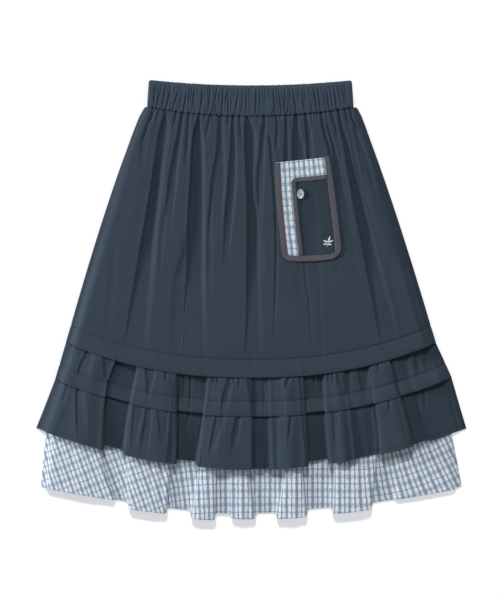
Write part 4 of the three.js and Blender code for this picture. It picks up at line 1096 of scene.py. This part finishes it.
def back_band():
    """The other half, which shows as a puckered strip above the front's top edge."""
    x = np.linspace(BAND_LEFT, BAND_RIGHT, BACK_BAND_COLUMNS + 1)
    edge = ramp(0, 4, from_ends(x))
    upper, lower, uv = [], [], []
    for down in np.linspace(0, 1, BACK_BAND_ROWS):
        top = band_top(x, BAND_HEIGHT_BACK) - 3 * (1 - edge) ** 2
        rib = np.clip(band_rib(-x, max(down, 0.2)), 0, 1)
        full = smooth_ramp(0, 0.09, down) * (1 - 0.5 * smooth_ramp(0.9, 1, down)) * edge
        y = top + (row_y(x, 0) + 0.5 - top) * down - 0.9 * (1 - rib) * (1 - ramp(0, 0.1, down))
        drawn = x * band_taper(down)
        upper.append(np.stack((drawn, y, 1.3 + (0.5 + 1.8 * rib) * full), -1))
        lower.append(np.stack((drawn, y, 0.9 * (1 - full) + 0.35 * (1 - rib) * full), -1))
        uv.append(np.stack((BAND_FULLNESS * (x - x[0]), np.full_like(x, BAND_HEIGHT_BACK * down)), -1))
    return shell_mesh("waistband_back_cloth", np.array(upper), np.array(lower), np.array(uv), SLATE_BAND)


dress("band_front", front_band(), "dark_cloth", "waistband_front")
dress("band_back", back_band(), "dark_cloth", "waistband_back")


# Pocket: laid out in its own plane, where a runs across it and b down it. It follows a
# coarse net over the panel, with knots a step apart that rest on the cloth within a reach.
def pocket_place(a, b):
    """Where a place on the pocket lies on the skirt, between its bowed edges."""
    p = np.asarray(a, float) / POCKET_WIDTH
    q = np.asarray(b, float) / POCKET_HEIGHT
    bow_across = 4 * q * (1 - q) * (POCKET_BOW_RIGHT * p - POCKET_BOW_LEFT * (1 - p))
    bow_down = 4 * p * (1 - p) * POCKET_BOW_LOW * q
    upper = POCKET_TOP_LEFT + (POCKET_TOP_RIGHT - POCKET_TOP_LEFT) * p[..., None]
    lower_edge = POCKET_LOW_LEFT + (POCKET_LOW_RIGHT - POCKET_LOW_LEFT) * p[..., None]
    place = upper + (lower_edge - upper) * q[..., None]
    return place[..., 0] + bow_across, place[..., 1] - bow_down


NET_STEP = 14.0
NET_REACH = 7.0
NET_LEFT, NET_RIGHT, NET_LOW, NET_TOP = 0, 170, 20, 250


def pocket_net():
    """Heights of the coarse net that the pocket follows over the panel's folds."""
    corners = panel_grid.reshape(-1, 3)
    near = (corners[:, 0] > NET_LEFT) & (corners[:, 0] < NET_RIGHT)
    near &= (corners[:, 1] > NET_LOW) & (corners[:, 1] < NET_TOP)
    cloth = corners[near]
    knots = []
    for b in np.arange(-NET_STEP, POCKET_HEIGHT + 2 * NET_STEP, NET_STEP):
        row = []
        for a in np.arange(-NET_STEP, POCKET_WIDTH + 2 * NET_STEP, NET_STEP):
            x, y = pocket_place(a, b)
            around = np.hypot(cloth[:, 0] - x, cloth[:, 1] - y) < NET_REACH
            row.append(cloth[around, 2].max())
        knots.append(row)
    return np.array(knots)


def spline_weights(t):
    """Weights of four knots in a row, for a place between the middle two."""
    u = 1 - t
    return (u ** 3 / 6, (3 * t ** 3 - 6 * t ** 2 + 4) / 6, (3 * u ** 3 - 6 * u ** 2 + 4) / 6, t ** 3 / 6)


pocket_knots = pocket_net()


def net_height(a, b):
    """Height of a smooth cover over the net at a place on the pocket."""
    column = np.asarray(a, float) / NET_STEP + 1
    row = np.asarray(b, float) / NET_STEP + 1
    j = np.clip(np.floor(column).astype(int), 1, pocket_knots.shape[1] - 3)
    i = np.clip(np.floor(row).astype(int), 1, pocket_knots.shape[0] - 3)
    height = 0
    for di, weight in enumerate(spline_weights(row - i)):
        for dj, share in enumerate(spline_weights(column - j)):
            height = height + weight * share * pocket_knots[i - 1 + di, j - 1 + dj]
    return height


# Soft folds of the dark patch, given as the panel's are
PATCH_BANDS = (
    (0.7, 1.2, 5.0, ((50, 35.5, 58), (80, 34, 57.5), (105, 32.5, 56), (230, 27, 50))),
    (0.8, 1.2, 2.0, ((27, 31, 34), (48, 34, 37))),
)


def pocket_surface(a, b, lift):
    """Points at a lift over the panel where the pocket lies."""
    x, y = pocket_place(a, b)
    return np.stack((x, y, net_height(a, b) + lift), -1)


def pocket_layer(name, a, b, base, thickness, edge, relief, uv, material):
    """A layer of the pocket on grids a and b. Its top face is rounded down at its edge."""
    upper = pocket_surface(a, b, base + thickness * edge + relief)
    return shell_mesh(name, upper, pocket_surface(a, b, base), uv, material)


def edge_profile(rows, columns, soft):
    """1 over the middle of a grid, falling to soft at its outer ring."""
    i = np.minimum(np.arange(rows), np.arange(rows)[::-1])[:, None]
    j = np.minimum(np.arange(columns), np.arange(columns)[::-1])[None, :]
    ring = np.minimum(i, j)
    return np.where(ring == 0, soft, np.where(ring == 1, 0.5 + 0.5 * soft, 1.0))


def round_inset(radius, to_edge):
    """How far a rounded corner draws its side in, by the distance to the next edge."""
    reach = np.clip(radius - to_edge, 0, None)
    return radius - np.sqrt(np.clip(radius ** 2 - reach ** 2, 0, None))


def patch_grid(left, right, depths, inset_left, inset_right, columns):
    """Grids of a and b between two sides, with a narrow cell along each side."""
    share = np.linspace(0, 1, columns + 1)
    share[1:-1] = 0.012 + 0.976 * (share[1:-1] - share[1]) / (share[-2] - share[1])
    starts = left + inset_left(depths)
    ends = right - inset_right(depths)
    a = starts[:, None] + (ends - starts)[:, None] * share
    return a, np.repeat(depths[:, None], columns + 1, axis=1)


# The pocket's layers, from the panel upwards: the gap under each, and their lifts
POCKET_GAP = 0.45
LAYER_STEP = 1 + POCKET_GAP
OVER_CHECK = POCKET_GAP + LAYER_STEP
OVER_PATCH = OVER_CHECK + LAYER_STEP - 0.3
PATCH_RIGHT = POCKET_WIDTH - TAPE_WIDTH - 0.3
PATCH_LOW = POCKET_HEIGHT - TAPE_WIDTH - 0.3
CHECK_INSET = 2.0
FINE_STEPS = np.array((6, 4, 2, 1, 0.4, 0))


def pocket_check_piece():
    last = POCKET_HEIGHT - CHECK_INSET
    depths = np.concatenate(((0, 0.5, 1.5), np.linspace(3, last - 10, 60), last - FINE_STEPS))
    a, b = patch_grid(
        CHECK_INSET, POCKET_WIDTH - CHECK_INSET, depths,
        lambda b: round_inset(POCKET_ROUND_LEFT - CHECK_INSET, last - b),
        lambda b: round_inset(POCKET_ROUND_RIGHT - CHECK_INSET, last - b), 50,
    )
    relief = 0.25 * np.sin(a / 3.1 + 1.2 * np.sin(b / 9)) * np.sin(b / 5.3 + 0.6 * np.sin(a / 4))
    relief *= edge_profile(*a.shape, 0)
    uv = np.stack((a + 4.5, b + 3.0), -1)
    edge = edge_profile(*a.shape, 0.3)
    return pocket_layer("pocket_check_cloth", a, b, POCKET_GAP, 0.8, edge, relief, uv, CHECK)


def pocket_patch_piece():
    top = PATCH_TOP + TAPE_LAP
    first = top + np.array((0, 0.4, 1, 2, 4))
    depths = np.concatenate((first, np.linspace(top + 6, PATCH_LOW - 8, 55), PATCH_LOW - FINE_STEPS))
    a, b = patch_grid(
        PATCH_LEFT + TAPE_LAP, PATCH_RIGHT, depths,
        lambda b: round_inset(PATCH_ROUND - TAPE_LAP, b - top),
        lambda b: round_inset(POCKET_ROUND_RIGHT - TAPE_WIDTH, PATCH_LOW - b), 40,
    )
    relief = band_relief(a, b, PATCH_BANDS) * edge_profile(*a.shape, 0)
    uv = np.stack((a, b), -1)
    edge = edge_profile(*a.shape, 0.4)
    # The patch takes the darker copy of the slate cloth, which is painted shade
    return pocket_layer("pocket_patch_cloth", a, b, OVER_CHECK - 0.2, 0.9, edge, relief, uv, SLATE_PATCH_PAINTED_SHADE)


def tape_spine(path, step):
    """Points and directions along straight runs and rounded corners, about a step apart."""
    spine = []
    start = np.array(path[0][:2], float)
    for k in range(1, len(path)):
        corner = np.array(path[k][:2], float)
        radius = path[k][2] if len(path[k]) > 2 else 0
        along = (corner - start) / np.linalg.norm(corner - start)
        run = np.linalg.norm(corner - start) - radius
        steps = max(1, round(run / step))
        for i in range(1 if spine else 0, steps + 1):
            spine.append((*(start + along * run * i / steps), *along))
        if radius:
            following = np.array(path[k + 1][:2], float) - corner
            following /= np.linalg.norm(following)
            for i in range(1, 13):
                angle = math.pi * i / 24
                before, after = radius * (1 - math.sin(angle)), radius * (1 - math.cos(angle))
                place = corner - along * before + following * after
                heading = along * math.cos(angle) + following * math.sin(angle)
                spine.append((*place, *heading))
            start = corner + following * radius
    return np.array(spine)


def beside(spine, inset):
    """Grids of a and b beside a tape's spine, at one or more distances into the tape."""
    a = spine[:, 0:1] + spine[:, 3:4] * inset
    b = spine[:, 1:2] - spine[:, 2:3] * inset
    return a, b


def tape_piece(name, path, width, base):
    """A tape along a path, with a groove near each edge where it is stitched."""
    spine = tape_spine(path, TAPE_STEP)
    share = np.array((0, 0.04, 0.12, 0.2, 0.35, 0.5, 0.65, 0.8, 0.88, 0.96, 1.0)) * width
    groove = np.array((0, 0, -0.12, 0.02, 0.05, 0.05, 0.05, 0.02, -0.12, 0, 0))
    a, b = beside(spine, share)
    uv = grain_uv(share, row_length(spine[:, :2]))
    return pocket_layer(name, a, b, base, 0.75, edge_profile(*a.shape, 0.35), groove, uv, TAPE)


TAPE_STEP = 2.0
OUTER_TAPE = ((
    (0, 0.5), (0, POCKET_HEIGHT, POCKET_ROUND_LEFT),
    (POCKET_WIDTH, POCKET_HEIGHT, POCKET_ROUND_RIGHT), (POCKET_WIDTH, -1),
), TAPE_WIDTH, OVER_CHECK)
INNER_TAPE = ((
    (PATCH_RIGHT, PATCH_TOP), (PATCH_LEFT, PATCH_TOP, PATCH_ROUND), (PATCH_LEFT, PATCH_LOW),
), NARROW_TAPE_WIDTH, OVER_PATCH)
dress("pocket_check", pocket_check_piece(), "check_cloth", "pocket_check")
dress("pocket_patch", pocket_patch_piece(), "dark_cloth", "pocket_patch")
dress("tape_outer", tape_piece("pocket_tape_outer_cloth", *OUTER_TAPE), "tape", "pocket_tape_outer")
dress("tape_inner", tape_piece("pocket_tape_inner_cloth", *INNER_TAPE), "tape", "pocket_tape_inner")


# Button
BUTTON_HALF_WIDTH = 5.2
BUTTON_HALF_HEIGHT = 7.3
BUTTON_TURNS = 48
button_x, button_y = pocket_place(*BUTTON_PLACE)
button_seat = float(net_height(*BUTTON_PLACE)) + POCKET_GAP + 2 * LAYER_STEP + 0.2


def ring_faces(rings, around):
    """Faces between closed rings of points, each with the same count around it."""
    points = np.arange(rings * around).reshape(rings, around)
    return grid_faces(np.concatenate((points, points[:, :1]), axis=1))


def button_piece():
    """A shell button: an oval disc with a rounded rim and a dished middle."""
    rings = np.array((
        (0.0, 1.0), (0.25, 1.0), (0.5, 1.02), (0.66, 1.25), (0.8, 1.7), (0.9, 1.95), (0.96, 1.7),
        (1.0, 1.2), (0.97, 0.6), (0.88, 0.1), (0.6, 0.0), (0.0, 0.0),
    ))
    turns = 2 * math.pi * np.arange(BUTTON_TURNS) / BUTTON_TURNS
    across = BUTTON_HALF_WIDTH * rings[:, :1] * np.cos(turns)
    along = BUTTON_HALF_HEIGHT * rings[:, :1] * np.sin(turns)
    height = button_seat + np.broadcast_to(rings[:, 1:], across.shape)
    points = np.stack((button_x + across, button_y + along, height), -1).reshape(-1, 3)
    uv = np.stack((across, along), -1).reshape(-1, 2)
    return make_mesh("button_shell", points, ring_faces(*across.shape), uv, SHELL)


dress("button", button_piece(), "shell", "button")


# Sewing: small stitches joined into one mesh for each seam
UP = np.array((0.0, 0.0, 1.0))
STITCH = 2.6
FRILL_STITCH = 2.8
TAPE_STITCH = 2.4
TAPE_STITCH_INSET = 1.1


def stitch_mesh(name, starts, ends, width, material):
    """Stitches as short rounded bars between the starts and the ends."""
    along = ends - starts
    length = np.linalg.norm(along, axis=1, keepdims=True)
    along = along / np.maximum(length, 1e-9)
    side = np.cross(UP, along)
    side /= np.maximum(np.linalg.norm(side, axis=1, keepdims=True), 1e-9)
    up = np.cross(along, side)
    rings = ((0.0, 0.25, -0.3), (0.2, 0.9, 0.15), (0.5, 1.0, 0.25), (0.8, 0.9, 0.15), (1.0, 0.25, -0.3))
    corners = ((1, 0), (0.5, 0.8), (-0.5, 0.8), (-1, 0), (0, -0.6))
    points, uv = [], []
    for share, thick, lift in rings:
        centre = starts + (ends - starts) * share + up * lift * width
        for across, high in corners:
            points.append(centre + (side * across + up * high) * thick * width / 2)
            uv.append(np.stack((np.full(len(starts), across * width), length[:, 0] * share), -1))
    bar = ring_faces(len(rings), len(corners))
    faces = bar + len(points) * np.arange(len(starts))[:, None, None]
    points = np.stack(points, 1).reshape(-1, 3)
    return make_mesh(name, points, faces.reshape(-1, 4), np.stack(uv, 1).reshape(-1, 2), material)


def resample(line, step, share):
    """Starts and ends of stitches a step apart along a line of points."""
    length = row_length(line)
    starts = np.arange(0, length[-1] - step, step)
    return [
        np.stack([np.interp(places, length, column) for column in line.T], -1)
        for places in (starts, starts + step * share)
    ]


def seam_stitches(name, row_points, depth, lift, step, width, material):
    """A row of stitches across the cloth at one depth, lifted off it along its normals."""
    rows = np.array([row_points(depth + shift)[2:-2] for shift in (-1, 0, 1)])
    line = rows[1] + surface_normals(rows)[1] * lift
    dress(name, stitch_mesh(name, *resample(line, step, 0.78), width, material), "dark_cloth")


def tape_stitches(name, path, width, base):
    """Two rows of stitches along a tape, one near each edge."""
    rows = []
    for inset in (TAPE_STITCH_INSET, width - TAPE_STITCH_INSET):
        a, b = beside(tape_spine(path, TAPE_STEP), inset)
        rows.append(resample(pocket_surface(a[:, 0], b[:, 0], base + 0.66), TAPE_STITCH, 0.7))
    starts, ends = (np.concatenate(side) for side in zip(*rows))
    dress(name, stitch_mesh(name, starts, ends, 0.34, TAPE_THREAD), "tape")


def button_thread():
    """The thread that holds the button, across its middle."""
    shift = np.array((-0.5, 0.0, 0.5))
    x, high = np.full(3, 1.5), np.full(3, button_seat + 1.1)
    starts = np.stack((button_x - x, button_y + shift, high), -1)
    ends = np.stack((button_x + x, button_y + 0.7 * shift, high), -1)
    dress("button_thread", stitch_mesh("button_thread", starts, ends, 0.6, TAPE_THREAD), "shell")


seam_stitches("tuck_stitches_1", panel_points, STITCH_1, 0.1, STITCH, 0.42, DARK_THREAD)
seam_stitches("tuck_stitches_2", upper_points, STITCH_2, 0.1, STITCH, 0.42, DARK_THREAD)
seam_stitches("hem_stitches", lower_points, HEM_EDGE - HEM_STITCH, 0.25, STITCH, 0.4, DARK_THREAD)
seam_stitches(
    "frill_hem_stitches", frill_points, FRILL_EDGE - HEM_STITCH, 0.25, FRILL_STITCH, 0.4, WHITE_THREAD,
)
tape_stitches("tape_outer_stitches", *OUTER_TAPE)
tape_stitches("tape_inner_stitches", *INNER_TAPE)
button_thread()


# Embroidery: a small generic sprig of satin-stitched leaves on the dark patch
LEAVES = (
    (0.0, -1.0, 62, 8.6, 1.5), (-0.4, -1.6, 150, 7.2, 1.4), (0.2, -2.0, 15, 7.4, 1.4),
    (-1.6, -4.2, 172, 5.6, 1.2), (-1.0, -4.6, -12, 5.8, 1.2),
)
STEM = ((0.4, 0.2), (-0.2, -2.2), (-1.2, -5.0), (-2.6, -8.2))


def sprig_piece():
    """Satin stitches side by side across each leaf, and a line of stitches for the stem."""
    starts, ends = [], []
    for x, y, heading, length, half in LEAVES:
        turn = math.radians(heading)
        along = np.array((math.cos(turn), math.sin(turn)))
        side = np.array((-along[1], along[0]))
        for share in np.linspace(0.04, 1, 15):
            reach = half * math.sin(math.pi * share ** 0.8) * 0.95 + 0.1
            middle = np.array((x, y)) + along * length * share
            slant = along * 0.5
            starts.append(middle - side * reach - slant)
            ends.append(middle + side * reach + slant)
    starts.extend(STEM[:-1])
    ends.extend(STEM[1:])
    places = [
        pocket_surface(SPRIG_PLACE[0] + side[:, 0], SPRIG_PLACE[1] - side[:, 1], OVER_CHECK + 0.85)
        for side in (np.array(starts), np.array(ends))
    ]
    return stitch_mesh("embroidered_sprig", *places, 0.75, WHITE_THREAD)


dress("sprig", sprig_piece(), "check_cloth")


# Floor, lights and camera
FLOOR_GLOW = 0.38
FLOOR_HALF = 3.0
FLOOR_GAP = 0.0002


def floor_piece():
    """A pale sheet of paper, just under the skirt."""
    mesh = bpy.data.meshes.new("floor")
    half = FLOOR_HALF
    corners = [(-half, -half, 0), (half, -half, 0), (half, half, 0), (-half, half, 0)]
    mesh.from_pydata(corners, [], [(0, 1, 2, 3)])
    nodes = Nodes("floor_paper")
    grain = nodes.noise(nodes.place("Object"), 900.0)
    tone = nodes.mix(grain, (0.93, 0.93, 0.93, 1), (0.95, 0.95, 0.95, 1))
    mesh.materials.append(nodes.finish(
        tone, nodes.bump(grain, 0.0002, 0.05), 0.95, 0.1,
        emission_color=(0.97, 0.98, 1, 1), emission_strength=FLOOR_GLOW,
    ))
    floor = bpy.data.objects.new("floor", mesh)
    bpy.context.scene.collection.objects.link(floor)
    floor.location.z = -FLOOR_GAP
    return floor


def keep_off(lamp, *things):
    """Shades some things from a light, as a card held beside it would."""
    passed = bpy.data.collections.new("passed_by_" + lamp.name)
    lamp.light_linking.receiver_collection = passed
    for thing in things:
        passed.objects.link(thing)
    for entry in passed.collection_objects:
        entry.light_linking.link_state = "EXCLUDE"


def add_lamp(name, kind, place, strength, colour):
    light = bpy.data.lights.new(name, kind)
    light.energy = strength
    light.color = colour
    lamp = bpy.data.objects.new(name, light)
    lamp.location = place
    bpy.context.scene.collection.objects.link(lamp)
    return lamp


def sun_light(name, source, angle, strength, colour):
    """Light from far away in the direction of source, soft by the angle it fills."""
    lamp = add_lamp(name, "SUN", source, strength, colour)
    lamp.data.angle = math.radians(angle)
    lamp.rotation_euler = (-Vector(source)).to_track_quat("-Z", "Y").to_euler()
    return lamp


def near_lamp(name, place, radius, watts, colour):
    """A soft lamp near the skirt, so that its light falls off towards the far side."""
    lamp = add_lamp(name, "POINT", place, watts, colour)
    lamp.data.shadow_soft_size = radius
    return lamp


def world_light(strength):
    world = bpy.data.worlds.new("studio")
    world.use_nodes = True
    background = world.node_tree.nodes["Background"]
    background.inputs[0].default_value = (0.95, 0.975, 1.02, 1)
    background.inputs[1].default_value = strength
    bpy.context.scene.world = world


PIXEL = 0.0015
PHOTO_LONG_SIDE = 600
CAMERA_HEIGHT = 3.0


def photo_camera():
    """A camera straight above, whose frame is the photo's at its scale."""
    camera = bpy.data.cameras.new("camera")
    camera.sensor_width = 36
    camera.lens = camera.sensor_width * CAMERA_HEIGHT / (PHOTO_LONG_SIDE * PIXEL)
    eye = bpy.data.objects.new("camera", camera)
    eye.location = (-0.002, -0.0006, CAMERA_HEIGHT)
    bpy.context.scene.collection.objects.link(eye)
    bpy.context.scene.camera = eye


floor = floor_piece()
sun_light("key", (-0.15, 1.4, 1.4), 7, 1.55, (1, 0.99, 0.97))
keep_off(near_lamp("side", (-1.56, 0.29, 0.605), 0.21, 62, (0.98, 0.99, 1)), floor)
pale = (floor, pieces["frill_front"], pieces["pocket_check"])
keep_off(sun_light("side_for_dark_cloth", (-1.6, 0.3, 0.62), 14, 1.5, (0.98, 0.99, 1)), *pale)
world_light(0.36)
photo_camera()
bpy.context.scene.view_settings.view_transform = "Standard"
